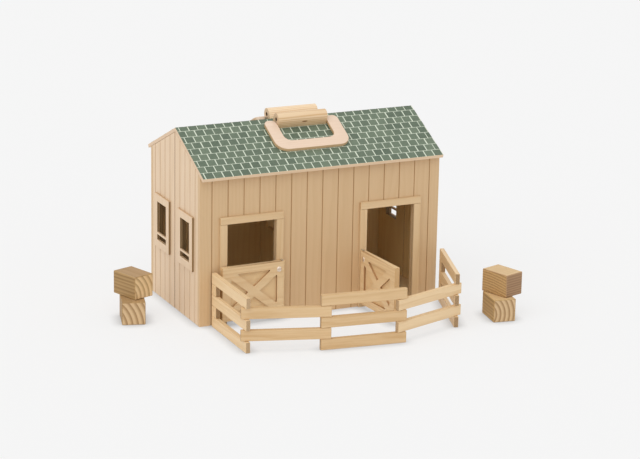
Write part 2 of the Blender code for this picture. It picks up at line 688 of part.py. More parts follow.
def rail_height(layer):
    """The bottom and the top of one of the fence's five layers."""
    bottom = layer * RAIL_PITCH
    return bottom, bottom + RAIL_HEIGHT


def fence_rail(name, panel, layer, x_span, hole_places):
    """One strip of a fence panel, with holes for the pins that cross it."""
    corners = span(*x_span, (-RAIL_THICKNESS / 2, RAIL_THICKNESS / 2), rail_height(layer))
    rail = board(name, *corners, FENCE_WOOD, panel)
    soften(rail, RAIL_EDGE_BEVEL)
    bottom, top = fence_pin_span()
    length = top - bottom + 2 * PIECE_GAP
    for index, across in enumerate(hole_places):
        mesh = mesh_from(round_bar(FENCE_PIN_RADIUS + PIECE_GAP, length), name + "_hole")
        hole = as_cutter("%s_hole_%d" % (name, index), mesh, panel)
        hole.location = (across, 0, (bottom + top) / 2)
        combine(rail, hole)


def fence_pin_span():
    """The bottom and the top of a hinge pin, hidden in the outer rails."""
    top_rail_bottom, _ = rail_height(FENCE_TOP_LAYER)
    return RAIL_HEIGHT - FENCE_PIN_END_DEPTH, top_rail_bottom + FENCE_PIN_END_DEPTH


def fence_joints():
    """The places of the pins, from the left free end to the right one."""
    strides = [Vector((math.cos(yaw), math.sin(yaw))) * PIN_SPACING for yaw in FENCE_YAWS]
    before = FENCE_FIXED_PANEL - 1
    points = [Vector((FENCE_HINGE_INSET - HALF_WIDTH, -HALF_DEPTH - FENCE_HINGE_FORWARD))]
    for stride in reversed(strides[:before]):
        points.insert(0, points[0] - stride)
    for stride in strides[before:]:
        points.append(points[-1] + stride)
    return points


def fence_panel(number, joints):
    """One fence panel: three rails on panels 1, 3 and 5, two on the others."""
    index = number - 1
    hinge, yaw = joints[index], FENCE_YAWS[index]
    if number < FENCE_FIXED_PANEL:
        hinge, yaw = joints[number], yaw + math.pi
    panel = add_pivot("fence_%d_pivot" % number, (*hinge, 0), yaw)
    x_span = (-PIN_INSET, PIN_SPACING + PIN_INSET)
    free_end = number in FENCE_END_PANELS
    holes = (0,) if free_end else (0, PIN_SPACING)
    rails = THREE_RAILS if number % 2 else TWO_RAILS
    for layer, word in rails.items():
        fence_rail("fence_%d_%s" % (number, word), panel, layer, x_span, holes)
    if free_end:
        block = (x_span[1] - SPACER_LENGTH, x_span[1])
        for layer, word in END_SPACERS.items():
            fence_rail("fence_%d_%s" % (number, word), panel, layer, block, ())


def fence_pins(joints):
    """A steel pin at each of the four hinges of the fence."""
    bottom, top = fence_pin_span()
    for number, place in enumerate(joints[1:-1], start=1):
        name = "fence_pin_%d" % number
        pin = add_object(name, mesh_from(round_bar(FENCE_PIN_RADIUS, top - bottom), name))
        pin.location = (place[0], place[1], (bottom + top) / 2)
        finish(pin, BRIGHT_STEEL)


def hay_bale(name, across, along, turn, bottom=0.0):
    """A wooden block that stands for a bale, on the ground or on another."""
    half = (BALE_WIDTH / 2, BALE_LENGTH / 2)
    corners = span(-half[0], half[0], (-half[1], half[1]), (0, BALE_HEIGHT))
    pivot = add_pivot(name + "_place", (across, along, bottom), turn)
    bale = board(name, *corners, BALE_WOOD, pivot)
    soften(bale, BALE_EDGE_BEVEL)


def bale_stacks():
    """A stack of two blocks beside the left end and one before the right corner."""
    on_top = BALE_HEIGHT + PIECE_GAP
    hay_bale("left_lower_bale", -HALF_WIDTH - LEFT_LOWER_BALE_OUT, LEFT_LOWER_BALE_ALONG,
             LEFT_LOWER_BALE_TURN)
    hay_bale("left_upper_bale", -HALF_WIDTH - LEFT_UPPER_BALE_OUT, LEFT_UPPER_BALE_ALONG,
             LEFT_UPPER_BALE_TURN, on_top)
    hay_bale("right_lower_bale", HALF_WIDTH + RIGHT_LOWER_BALE_OUT,
             -HALF_DEPTH - RIGHT_LOWER_BALE_AHEAD, RIGHT_LOWER_BALE_TURN)
    hay_bale("right_upper_bale", HALF_WIDTH + RIGHT_UPPER_BALE_OUT,
             -HALF_DEPTH - RIGHT_UPPER_BALE_AHEAD, RIGHT_UPPER_BALE_TURN, on_top)


def build():
    """Make every piece of the stable."""
    for side in (FRONT, BACK):
        roof_space = roof_space_cutter(side)
        long_wall(side, roof_space)
        floor_board(side)
        roof_panel(side)
        ridge_block(side)
        handle(side)
        for hand in (LEFT, RIGHT):
            gable(side, hand, roof_space)
            window_frame(side, hand)
    for hand, opening in ((LEFT, LEFT_DOOR_REST), (RIGHT, RIGHT_DOOR_REST)):
        stall_trim(hand)
        door_pin(hand)
        half_door(hand, opening)
    stall_divider()
    end_hinge()
    joints = fence_joints()
    for number in range(1, len(FENCE_YAWS) + 1):
        fence_panel(number, joints)
    fence_pins(joints)
    bale_stacks()


build()
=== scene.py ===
"""Looks of the toy horse stable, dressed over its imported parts.

Every board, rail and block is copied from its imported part, the arrises that the
photograph shows soft are eased, and each gets a solid wood finish whose grain runs
along the piece.  The shingles printed on the roof and the screws of the end hinge
come from Geometry Nodes, and each half door gets a low domed cap.
"""
import json
import logging
import math
import random
from dataclasses import dataclass, field, replace
from enum import Enum
from typing import Callable, Dict, List, Optional, Sequence, Tuple, Union

import bmesh
import bpy
from mathutils import Matrix, Vector

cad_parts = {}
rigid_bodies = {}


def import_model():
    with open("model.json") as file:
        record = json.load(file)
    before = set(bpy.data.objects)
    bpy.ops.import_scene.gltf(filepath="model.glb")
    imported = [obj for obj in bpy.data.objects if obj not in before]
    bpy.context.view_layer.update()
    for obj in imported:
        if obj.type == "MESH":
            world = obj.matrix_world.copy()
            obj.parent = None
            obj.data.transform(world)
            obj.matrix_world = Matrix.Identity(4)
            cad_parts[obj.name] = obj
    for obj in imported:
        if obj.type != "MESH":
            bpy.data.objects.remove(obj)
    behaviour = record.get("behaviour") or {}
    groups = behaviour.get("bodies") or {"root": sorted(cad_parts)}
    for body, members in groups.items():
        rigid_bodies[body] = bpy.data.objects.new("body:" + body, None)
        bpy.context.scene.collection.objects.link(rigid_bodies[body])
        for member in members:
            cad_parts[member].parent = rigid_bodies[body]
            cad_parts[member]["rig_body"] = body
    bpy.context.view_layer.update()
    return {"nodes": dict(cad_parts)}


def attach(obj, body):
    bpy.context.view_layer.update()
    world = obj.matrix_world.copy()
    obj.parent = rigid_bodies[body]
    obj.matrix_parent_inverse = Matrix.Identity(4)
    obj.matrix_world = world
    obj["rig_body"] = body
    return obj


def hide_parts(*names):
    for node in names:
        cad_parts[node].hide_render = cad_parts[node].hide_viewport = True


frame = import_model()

LOG = logging.getLogger("toy_horse_stable")

Colour = Tuple[float, float, float]
FaceTest = Callable[[bpy.types.MeshPolygon], bool]
Feed = Union[bpy.types.NodeSocket, float, int, Sequence[float]]


class Side(Enum):
    """The two halves that the stable opens into, by the sign of their Y."""

    FRONT = -1
    BACK = 1

    def named(self, word: str) -> str:
        """Name of a piece of this half."""
        return "%s_%s" % (self.name.lower(), word)


class Hand(Enum):
    """The two ends of the ridge, by the sign of their X."""

    LEFT = -1
    RIGHT = 1

    def named(self, word: str) -> str:
        """Name of a piece at this end."""
        return "%s_%s" % (self.name.lower(), word)


class Grain(Enum):
    """Which way the fibres of an upright or level board run, and its face."""

    ALONG_RIDGE = ((1, 0, 0), (0, 1, 0))
    UP_LONG_WALL = ((0, 0, 1), (0, 1, 0))
    UP_END_WALL = ((0, 0, 1), (1, 0, 0))
    LEVEL = ((1, 0, 0), (0, 0, 1))

    def board_frame(self) -> Matrix:
        """Rotation whose X is the grain and whose Z is the board's face."""
        grain, face = (Vector(direction) for direction in self.value)
        return board_frame(grain, face)


def board_frame(grain: Vector, face: Vector) -> Matrix:
    """Rotation from the room to a board.

    Args:
        grain: direction of the fibres.
        face: direction that the board's broad face looks in.

    Returns:
        A matrix that takes a point in the room to board coordinates, with X
        along the grain and Z out of the face.
    """
    along = grain.normalized()
    out = (face - along * face.dot(along)).normalized()
    return Matrix((along, out.cross(along), out))


def srgb(red: int, green: int, blue: int) -> Colour:
    """Linear colour from the usual 0 to 255 values.

    Args:
        red: the red value.
        green: the green value.
        blue: the blue value.

    Returns:
        The three channels, each from 0 to 1.
    """
    def linear(value: int) -> float:
        """One channel."""
        share = value / 255
        return share / 12.92 if share <= 0.04045 else ((share + 0.055) / 1.055) ** 2.4
    return linear(red), linear(green), linear(blue)


def placed(name: str, data: bpy.types.ID) -> bpy.types.Object:
    """A new object with this data, linked to the scene at the origin.

    Args:
        name: the object's name.
        data: its mesh, lamp or camera.

    Returns:
        The object.
    """
    piece = bpy.data.objects.new(name, data)
    bpy.context.scene.collection.objects.link(piece)
    return piece


def mesh_of(shape: bmesh.types.BMesh, name: str) -> bpy.types.Mesh:
    """The mesh of a finished shape, which is then freed.

    Args:
        shape: the finished shape.
        name: the mesh's name.

    Returns:
        The mesh.
    """
    mesh = bpy.data.meshes.new(name)
    shape.to_mesh(mesh)
    shape.free()
    return mesh


def shade(mesh: bpy.types.Mesh, round_angle: float) -> None:
    """Shade the round parts of a mesh smooth and the rest flat.

    Args:
        mesh: the mesh.
        round_angle: faces that meet under this angle, in degrees, shade as one, and
            none do at zero.
    """
    mesh.polygons.foreach_set("use_smooth", [round_angle > 0] * len(mesh.polygons))
    if round_angle > 0:
        mesh.set_sharp_from_angle(angle=math.radians(round_angle))


class Wiring:
    """Adds nodes to one tree and joins their sockets."""

    # Where the sockets for colours stand on a Mix node, and for numbers on a Random Value node.
    MIX_SHARE, MIX_FIRST, MIX_SECOND, MIX_RESULT = 0, 6, 7, 2
    RANDOM_LOW, RANDOM_HIGH, RANDOM_RESULT = 2, 3, 1

    def __init__(self, tree: bpy.types.NodeTree) -> None:
        """Keep the tree."""
        self.tree = tree

    def feed(self, socket: bpy.types.NodeSocket, value: Feed) -> None:
        """Link a socket to another, or set its own value.

        Args:
            socket: the input to fill.
            value: the socket or the plain value that goes into it.
        """
        if isinstance(value, bpy.types.NodeSocket):
            self.tree.links.new(value, socket)
        else:
            socket.default_value = value

    def add(self, kind: str, feeds: Optional[Dict[Union[str, int], Feed]] = None,
            **settings: object) -> bpy.types.Node:
        """Add one node.

        Args:
            kind: the node's type name.
            feeds: what goes into its inputs, by name or index.
            **settings: properties of the node, set first.

        Returns:
            The node.
        """
        node = self.tree.nodes.new(kind)
        for name, value in settings.items():
            setattr(node, name, value)
        for name, value in (feeds or {}).items():
            self.feed(node.inputs[name], value)
        return node

    def math(self, operation: str, *values: Feed, clamp: bool = False) -> bpy.types.NodeSocket:
        """One step of arithmetic on numbers."""
        return self.add("ShaderNodeMath", dict(enumerate(values)), operation=operation,
                        use_clamp=clamp).outputs[0]

    def vector(self, operation: str, *values: Feed) -> bpy.types.NodeSocket:
        """One step of arithmetic on vectors, with a vector as its result."""
        return self.add("ShaderNodeVectorMath", dict(enumerate(values)), operation=operation).outputs[0]

    def number_of(self, operation: str, *values: Feed) -> bpy.types.NodeSocket:
        """One step of arithmetic on vectors, with a number as its result."""
        return self.add("ShaderNodeVectorMath", dict(enumerate(values)),
                        operation=operation).outputs["Value"]

    def scaled(self, place: Feed, by: Feed) -> bpy.types.NodeSocket:
        """A vector times a number."""
        return self.add("ShaderNodeVectorMath", {0: place, "Scale": by}, operation="SCALE").outputs[0]

    def joined(self, across: Feed, along: Feed, up: Feed) -> bpy.types.NodeSocket:
        """A vector from its three numbers."""
        return self.add("ShaderNodeCombineXYZ", {0: across, 1: along, 2: up}).outputs[0]

    def noise(self, place: Feed, stretch: Sequence[float], detail: float = 2.0,
              roughness: float = 0.5) -> bpy.types.Node:
        """Noise stretched by its own frequency along each axis, in cycles a metre.

        Args:
            place: where the noise is read.
            stretch: the three frequencies.
            detail: how many finer layers it has.
            roughness: how strong the finer layers are.

        Returns:
            The noise node.
        """
        stretched = self.vector("MULTIPLY", place, stretch)
        return self.add("ShaderNodeTexNoise", {"Vector": stretched, "Scale": 1.0, "Detail": detail,
                                               "Roughness": roughness})

    def ramp(self, value: Feed, low: float, high: float, start: float = 0.0,
             end: float = 1.0) -> bpy.types.NodeSocket:
        """A smooth step of a number from one range to another."""
        feeds = {"Value": value, "From Min": low, "From Max": high, "To Min": start, "To Max": end}
        return self.add("ShaderNodeMapRange", feeds, interpolation_type="SMOOTHSTEP").outputs["Result"]

    def blend(self, share: Feed, first: Feed, second: Feed) -> bpy.types.NodeSocket:
        """Mix two colours."""
        feeds = {self.MIX_SHARE: share, self.MIX_FIRST: first, self.MIX_SECOND: second}
        return self.add("ShaderNodeMix", feeds, data_type="RGBA").outputs[self.MIX_RESULT]

    def drawn(self, low: Feed, high: Feed, seed: Feed) -> bpy.types.NodeSocket:
        """A random number between two limits, for each point of a Geometry Nodes tree.

        Args:
            low: the lower limit.
            high: the upper limit.
            seed: the fixed seed.

        Returns:
            The random number.
        """
        feeds = {self.RANDOM_LOW: low, self.RANDOM_HIGH: high, "Seed": seed}
        return self.add("FunctionNodeRandomValue", feeds,
                        data_type="FLOAT").outputs[self.RANDOM_RESULT]


NUMBER, COUNT, VECTOR = "NodeSocketFloat", "NodeSocketInt", "NodeSocketVector"
MATERIAL, GEOMETRY = "NodeSocketMaterial", "NodeSocketGeometry"
SocketSpec = Tuple[str, str, Optional[Feed]]


class EffectGroup:
    """A shader node group with named inputs and outputs, built once."""

    def __init__(self, name: str, inputs: Sequence[SocketSpec], outputs: Sequence[str],
                 build: Callable[[Wiring, bpy.types.NodeOutputs], Dict[str, Feed]]) -> None:
        """Make the group.

        Args:
            name: the group's name.
            inputs: name, socket type and default of each input.
            outputs: name of each output, all of them numbers.
            build: adds the nodes and returns what feeds each output.
        """
        self.tree = bpy.data.node_groups.new(name, "ShaderNodeTree")
        for label, kind, default in inputs:
            socket = self.tree.interface.new_socket(name=label, in_out="INPUT", socket_type=kind)
            if default is not None:
                socket.default_value = default
        for label in outputs:
            self.tree.interface.new_socket(name=label, in_out="OUTPUT", socket_type=NUMBER)
        wires = Wiring(self.tree)
        wires.add("NodeGroupOutput", build(wires, wires.add("NodeGroupInput").outputs))

    def place(self, wires: Wiring, feeds: Dict[str, Feed]) -> bpy.types.NodeOutputs:
        """Put the group in a material with its own values, and give its outputs."""
        return wires.add("ShaderNodeGroup", feeds, node_tree=self.tree).outputs


class Effects:
    """The effects that several finishes share, with their noises in cycles a metre."""

    WANDER_NOISE = (7, 24, 24)
    STREAK_NOISE = (8, 380, 380)
    FIBRE_NOISE = (70, 2600, 2600)
    TONE_NOISE = (3.5, 18, 18)
    LATE_WOOD_RISE = (0.25, 0.88)
    LATE_WOOD_FALL = (0.90, 1.0)
    ARRIS_FADE = (0.2, 1.0)
    END_GRAIN_TILT = (0.6, 0.95)
    KNOT_STRETCH = (0.25, 1.0, 1.0)
    KNOT_FADE = (0.45, 1.0)
    SPECKS_IN_CLOUD = (9, 9, 9)
    CLOUD_MIDDLE = 0.75

    def __init__(self) -> None:
        """Build every group."""
        self.figure = EffectGroup(
            "wood_figure",
            [("Board Place", VECTOR, None), ("Pith", VECTOR, (0, 0.03, 0.05)),
             ("Ring Pitch", NUMBER, 0.002), ("Ring Wander", NUMBER, 0.004),
             ("Ring Strength", NUMBER, 0.4), ("Streak Strength", NUMBER, 0.3),
             ("Fibre Strength", NUMBER, 0.15), ("Tone Strength", NUMBER, 0.3)],
            ["Amount", "Height"], self._figure)
        self.arrises = EffectGroup(
            "board_arrises",
            [("Board Place", VECTOR, None), ("Middle", VECTOR, None), ("Half Size", VECTOR, None),
             ("Width", NUMBER, 0.001)], ["Mask"], self._arrises)
        self.end_grain = EffectGroup("end_grain", [("Board Normal", VECTOR, None)], ["Mask"],
                                     self._end_grain)
        self.knot = EffectGroup(
            "knot", [("Board Place", VECTOR, None), ("Middle", VECTOR, None), ("Radius", NUMBER, 0.001)],
            ["Mask"], self._knot)
        self.mottle = EffectGroup(
            "mottle", [("Place", VECTOR, None), ("Pitch", NUMBER, 0.004), ("Strength", NUMBER, 0.1)],
            ["Amount"], self._mottle)

    @staticmethod
    def _figure(wires: Wiring, given: bpy.types.NodeOutputs) -> Dict[str, Feed]:
        """Growth rings about a pith line, streaks and fibres along the grain.

        Args:
            wires: the group's wiring.
            given: what the group's inputs put out.

        Returns:
            The figure's darkness and its height.
        """
        place = given["Board Place"]
        wander = wires.noise(place, Effects.WANDER_NOISE).outputs["Color"]
        centred = wires.vector("SUBTRACT", wander, (0.5, 0.5, 0.5))
        moved = wires.vector("ADD", place, wires.scaled(centred, given["Ring Wander"]))
        from_pith = wires.vector("SUBTRACT", moved, given["Pith"])
        radius = wires.number_of("LENGTH", wires.vector("MULTIPLY", from_pith, (0, 1, 1)))
        phase = wires.math("FRACT", wires.math("DIVIDE", radius, given["Ring Pitch"]))
        late = wires.math("MULTIPLY", wires.ramp(phase, *Effects.LATE_WOOD_RISE),
                          wires.ramp(phase, *Effects.LATE_WOOD_FALL, 1.0, 0.0))
        streak = wires.noise(place, Effects.STREAK_NOISE, detail=3.0, roughness=0.6).outputs["Fac"]
        fibre = wires.noise(place, Effects.FIBRE_NOISE, detail=1.0).outputs["Fac"]
        tone = wires.noise(place, Effects.TONE_NOISE).outputs["Fac"]
        amount = wires.math("MULTIPLY", late, given["Ring Strength"])
        for value, strength in ((streak, "Streak Strength"), (fibre, "Fibre Strength"),
                                (tone, "Tone Strength")):
            off = wires.math("SUBTRACT", value, 0.5)
            amount = wires.math("MULTIPLY_ADD", off, given[strength], amount)
        height = wires.math("MULTIPLY_ADD", late, 0.5, wires.math("MULTIPLY", fibre, 0.5))
        return {"Amount": amount, "Height": height}

    @staticmethod
    def _arrises(wires: Wiring, given: bpy.types.NodeOutputs) -> Dict[str, Feed]:
        """One along the box edges of a board, nothing on its faces.

        Args:
            wires: the group's wiring.
            given: what the group's inputs put out.

        Returns:
            The mask.
        """
        off = wires.vector("ABSOLUTE", wires.vector("SUBTRACT", given["Board Place"], given["Middle"]))
        depth = wires.vector("SUBTRACT", given["Half Size"], off)
        parts = wires.add("ShaderNodeSeparateXYZ", {0: depth}).outputs
        least = wires.math("MINIMUM", parts[0], parts[1])
        most = wires.math("MAXIMUM", parts[0], parts[1])
        second = wires.math("MAXIMUM", least, wires.math("MINIMUM", most, parts[2]))
        share = wires.math("DIVIDE", second, given["Width"])
        return {"Mask": wires.ramp(share, *Effects.ARRIS_FADE, 1.0, 0.0)}

    @staticmethod
    def _end_grain(wires: Wiring, given: bpy.types.NodeOutputs) -> Dict[str, Feed]:
        """One where the surface is cut across the fibres."""
        parts = wires.add("ShaderNodeSeparateXYZ", {0: given["Board Normal"]}).outputs
        return {"Mask": wires.ramp(wires.math("ABSOLUTE", parts[0]), *Effects.END_GRAIN_TILT)}

    @staticmethod
    def _knot(wires: Wiring, given: bpy.types.NodeOutputs) -> Dict[str, Feed]:
        """A soft spot on a board, drawn out along the grain.

        Args:
            wires: the group's wiring.
            given: what the group's inputs put out.

        Returns:
            The mask.
        """
        off = wires.vector("SUBTRACT", given["Board Place"], given["Middle"])
        away = wires.number_of("LENGTH", wires.vector("MULTIPLY", off, Effects.KNOT_STRETCH))
        share = wires.math("DIVIDE", away, given["Radius"])
        return {"Mask": wires.ramp(share, *Effects.KNOT_FADE, 1.0, 0.0)}

    @staticmethod
    def _mottle(wires: Wiring, given: bpy.types.NodeOutputs) -> Dict[str, Feed]:
        """Soft clouds and fine specks, for prints, metal and the floor.

        Args:
            wires: the group's wiring.
            given: what the group's inputs put out.

        Returns:
            How far each spot departs from the mean.
        """
        scaled = wires.scaled(given["Place"], wires.math("DIVIDE", 1.0, given["Pitch"]))
        cloud = wires.noise(scaled, (1, 1, 1), detail=3.0).outputs["Fac"]
        speck = wires.noise(scaled, Effects.SPECKS_IN_CLOUD, detail=1.0).outputs["Fac"]
        both = wires.math("MULTIPLY_ADD", speck, 0.5, cloud)
        off = wires.math("SUBTRACT", both, Effects.CLOUD_MIDDLE)
        return {"Amount": wires.math("MULTIPLY", off, given["Strength"])}


EFFECTS = Effects()


def new_material(name: str) -> Tuple[bpy.types.Material, Wiring, bpy.types.Node]:
    """A material with its wiring and its Principled BSDF.

    Args:
        name: the material's name.

    Returns:
        The material, its wiring and its shader.
    """
    material = bpy.data.materials.new(name)
    material.use_nodes = True
    return material, Wiring(material.node_tree), material.node_tree.nodes["Principled BSDF"]


@dataclass(frozen=True)
class BoardPlace:
    """Where a board lies and how its grain runs, for its finish."""

    turn: Matrix
    middle: Vector
    half: Vector

    @classmethod
    def of_mesh(cls, mesh: bpy.types.Mesh, turn: Matrix) -> "BoardPlace":
        """Measure a board along its own axes.

        Args:
            mesh: the board's mesh.
            turn: rotation to board coordinates.

        Returns:
            The place of the board.
        """
        points = [turn @ vertex.co for vertex in mesh.vertices]
        low = Vector(tuple(min(point[axis] for point in points) for axis in range(3)))
        high = Vector(tuple(max(point[axis] for point in points) for axis in range(3)))
        return cls(turn, (low + high) / 2, (high - low) / 2)


@dataclass(frozen=True)
class Wood:
    """A clear-finished wood: its two tones, its figure and its sheen."""

    name: str
    pale: Colour
    dark: Colour
    end: Colour
    pith: Tuple[float, float, float] = (0.0, 0.012, 0.045)
    ring_pitch: float = 0.0022
    ring_wander: float = 0.006
    ring_strength: float = 0.45
    streak_strength: float = 0.5
    fibre_strength: float = 0.25
    tone_strength: float = 0.5
    roughness: float = 0.52
    coat: float = 0.08
    base_amount: float = 0.3
    tone_spread: float = 0.08
    edge_darkening: float = 0.25
    bump: float = 0.18
    end_cover: float = 0.75
    chosen_cut: bool = False
    knots: Tuple[Tuple[float, float, float], ...] = ()
    knot_radius: float = 0.0013
    knot_colour: Colour = srgb(134, 88, 50)
    coat_roughness: float = 0.35
    bump_height: float = 0.0002
    figure_roughness: float = 0.12
    arris_width: float = 0.0012
    log_reach: float = 2.0
    pitch_spread: Tuple[float, float] = (0.85, 1.2)

    def material(self, piece: str, place: BoardPlace) -> bpy.types.Material:
        """The finish on one board.

        Args:
            piece: the board's name, which also picks the part of the log.
            place: where the board lies and how its grain runs.

        Returns:
            The board's material.
        """
        material, wires, shader = new_material("%s_%s" % (piece, self.name))
        coordinates = wires.add("ShaderNodeTexCoord").outputs
        turned, normal = (
            wires.add("ShaderNodeMapping", {"Vector": coordinates[kind], "Rotation": place.turn.to_euler()},
                      vector_type="POINT").outputs[0] for kind in ("Object", "Normal"))
        pick = random.Random(piece)
        centred = wires.vector("SUBTRACT", turned, tuple(place.middle))
        board = wires.vector("ADD", centred, (pick.uniform(-self.log_reach, self.log_reach), 0, 0))
        pith = (0, self.pith[1] * pick.uniform(-1, 1), self.pith[2] * pick.choice((-1, 1)))
        pitch = self.ring_pitch * pick.uniform(*self.pitch_spread)
        if self.chosen_cut:
            pith, pitch = self.pith, self.ring_pitch
        figure = EFFECTS.figure.place(wires, {
            "Board Place": board, "Pith": pith, "Ring Pitch": pitch, "Ring Wander": self.ring_wander,
            "Ring Strength": self.ring_strength, "Streak Strength": self.streak_strength,
            "Fibre Strength": self.fibre_strength, "Tone Strength": self.tone_strength})
        arrises = EFFECTS.arrises.place(wires, {
            "Board Place": turned, "Middle": tuple(place.middle), "Half Size": tuple(place.half),
            "Width": self.arris_width})
        end = EFFECTS.end_grain.place(wires, {"Board Normal": normal})
        base = self.base_amount + pick.uniform(-self.tone_spread, self.tone_spread)
        amount = wires.math("ADD", figure["Amount"], base)
        amount = wires.math("MULTIPLY_ADD", arrises["Mask"], self.edge_darkening, amount)
        wood = wires.blend(wires.math("ADD", amount, 0.0, clamp=True), (*self.pale, 1), (*self.dark, 1))
        for spot in self.knots:
            knot = EFFECTS.knot.place(wires, {"Board Place": centred, "Middle": spot,
                                              "Radius": self.knot_radius})
            wood = wires.blend(knot["Mask"], wood, (*self.knot_colour, 1))
        faces = wires.blend(end["Mask"], wood, wires.blend(self.end_cover, wood, (*self.end, 1)))
        wires.feed(shader.inputs["Base Color"], faces)
        wires.feed(shader.inputs["Roughness"],
                   wires.math("MULTIPLY_ADD", figure["Height"], self.figure_roughness,
                              self.roughness - self.figure_roughness / 2))
        shader.inputs["Coat Weight"].default_value = self.coat
        shader.inputs["Coat Roughness"].default_value = self.coat_roughness
        bump = wires.add("ShaderNodeBump", {"Strength": self.bump, "Distance": self.bump_height,
                                            "Height": figure["Height"]})
        wires.feed(shader.inputs["Normal"], bump.outputs[0])
        return material


@dataclass(frozen=True)
class Metal:
    """A plain metal with fine scratches."""

    name: str
    colour: Colour
    roughness: float
    scratch_pitch: float = 0.003
    scratch_strength: float = 0.5
    pale_gain: float = 1.12
    dark_gain: float = 0.82

    def material(self, piece: str) -> bpy.types.Material:
        """The finish on one metal piece.

        Args:
            piece: the piece's name.

        Returns:
            The piece's material.
        """
        material, wires, shader = new_material("%s_%s" % (piece, self.name))
        place = wires.add("ShaderNodeTexCoord").outputs["Object"]
        scratches = EFFECTS.mottle.place(wires, {"Place": place, "Pitch": self.scratch_pitch,
                                                 "Strength": self.scratch_strength})["Amount"]
        pale = tuple(min(1.0, channel * self.pale_gain) for channel in self.colour)
        dark = tuple(channel * self.dark_gain for channel in self.colour)
        share = wires.math("ADD", scratches, 0.5, clamp=True)
        wires.feed(shader.inputs["Base Color"], wires.blend(share, (*dark, 1), (*pale, 1)))
        wires.feed(shader.inputs["Roughness"], wires.math("ADD", scratches, self.roughness))
        shader.inputs["Metallic"].default_value = 1.0
        return material


def cut_face(name: str, pale: Colour, dark: Colour, end: Colour, roughness: float = 0.65,
             **figure: float) -> Wood:
    """A bare face that a saw or cutter left; the same dull finish also paints shade in seams, grooves,
    pockets and bores.

    Args:
        name: the finish's name.
        pale: colour of the early wood.
        dark: colour of the late wood.
        end: colour across the fibres.
        roughness: how dull the face is.
        **figure: strengths of the rings and streaks, where they show.

    Returns:
        The finish, without coat and without darker edges.
    """
    return Wood(name, pale, dark, end, roughness=roughness, coat=0.0, edge_darkening=0.0, **figure)


PINE = Wood("clear_pine", srgb(240, 214, 172), srgb(216, 178, 126), srgb(208, 170, 118),
            ring_strength=0.25, streak_strength=0.40, tone_strength=0.35)
WALL_PLY = Wood("wall_ply", srgb(222, 191, 150), srgb(200, 164, 118), srgb(180, 140, 96),
                pith=(0, 0.05, 0.16), ring_pitch=0.0034, ring_wander=0.010, ring_strength=0.12,
                streak_strength=0.20, tone_strength=0.25, roughness=0.56, tone_spread=0.02,
                edge_darkening=0.0)
# Groove flanks of the long walls: the milled wood's own darker tone plus painted shade in the groove.
WALL_GROOVE_AND_SHADE = cut_face("milled_groove", srgb(188, 148, 102), srgb(160, 120, 76), srgb(150, 108, 66),
                       ring_strength=0.1, streak_strength=0.2)
INNER_PLY = Wood("inner_ply", srgb(244, 215, 160), srgb(222, 184, 124), srgb(196, 158, 106),
                 pith=(0, 0.05, 0.16), ring_pitch=0.0034, ring_wander=0.010, ring_strength=0.2,
                 streak_strength=0.4, tone_strength=0.4, roughness=0.6, edge_darkening=0.0)
# Window reveals in the end walls: the cut ply edge's own brown, deepened by painted shade of the dim
# inside.
PLY_EDGE_AND_SHADE = Wood("ply_edge", srgb(152, 119, 72), srgb(80, 58, 30), srgb(122, 94, 54),
                pith=(0, 0, 0.5), ring_pitch=0.0021, ring_wander=0.001, ring_strength=0.9,
                streak_strength=0.5, coat=0.0, roughness=0.7, tone_spread=0.0, edge_darkening=0.0,
                end_cover=0.3, chosen_cut=True)
# End-wall ply, also on the window frames: paler than the long walls' ply by painted light from the lamp
# side.
LIT_GABLE_PLY = Wood("gable_ply", srgb(236, 209, 178), srgb(218, 187, 148), srgb(196, 160, 118),
                 pith=(0, 0.05, 0.15), ring_pitch=0.0034, ring_wander=0.010, ring_strength=0.18,
                 streak_strength=0.30, tone_strength=0.35, roughness=0.50, tone_spread=0.03,
                 edge_darkening=0.0)
# Groove flanks of the end walls: the milled wood's darker tone plus painted shade in the groove, kept paler
# than the long walls' grooves by painted light.
GABLE_GROOVE_LIGHT_AND_SHADE = cut_face("milled_gable_groove", srgb(196, 156, 112), srgb(166, 126, 84),
                        srgb(160, 120, 80), ring_strength=0.1, streak_strength=0.2)
TRIM_PINE = Wood("trim_pine", srgb(231, 203, 161), srgb(205, 167, 118), srgb(198, 158, 106),
                 ring_strength=0.20, streak_strength=0.40, tone_strength=0.3, tone_spread=0.02,
                 edge_darkening=0.08)
RECESS = cut_face("routed_recess", srgb(240, 211, 164), srgb(216, 178, 127), srgb(204, 166, 117), 0.62,
                  ring_strength=0.20, streak_strength=0.4)
# Rims of the door's routed pockets: the cut wood's tone, darkened by painted shade in the pocket.
RECESS_RIM_AND_SHADE = cut_face("recess_rim", srgb(196, 156, 112), srgb(166, 124, 80), srgb(168, 126, 84))
# Painted shade in the thin gap where the two halves meet.
SEAM_SHADE = cut_face("sawn_seam", srgb(156, 108, 64), srgb(124, 82, 46), srgb(130, 88, 50), 0.9)
BURNT_EDGE = cut_face("burnt_edge", srgb(158, 128, 86), srgb(132, 102, 64), srgb(140, 110, 72))
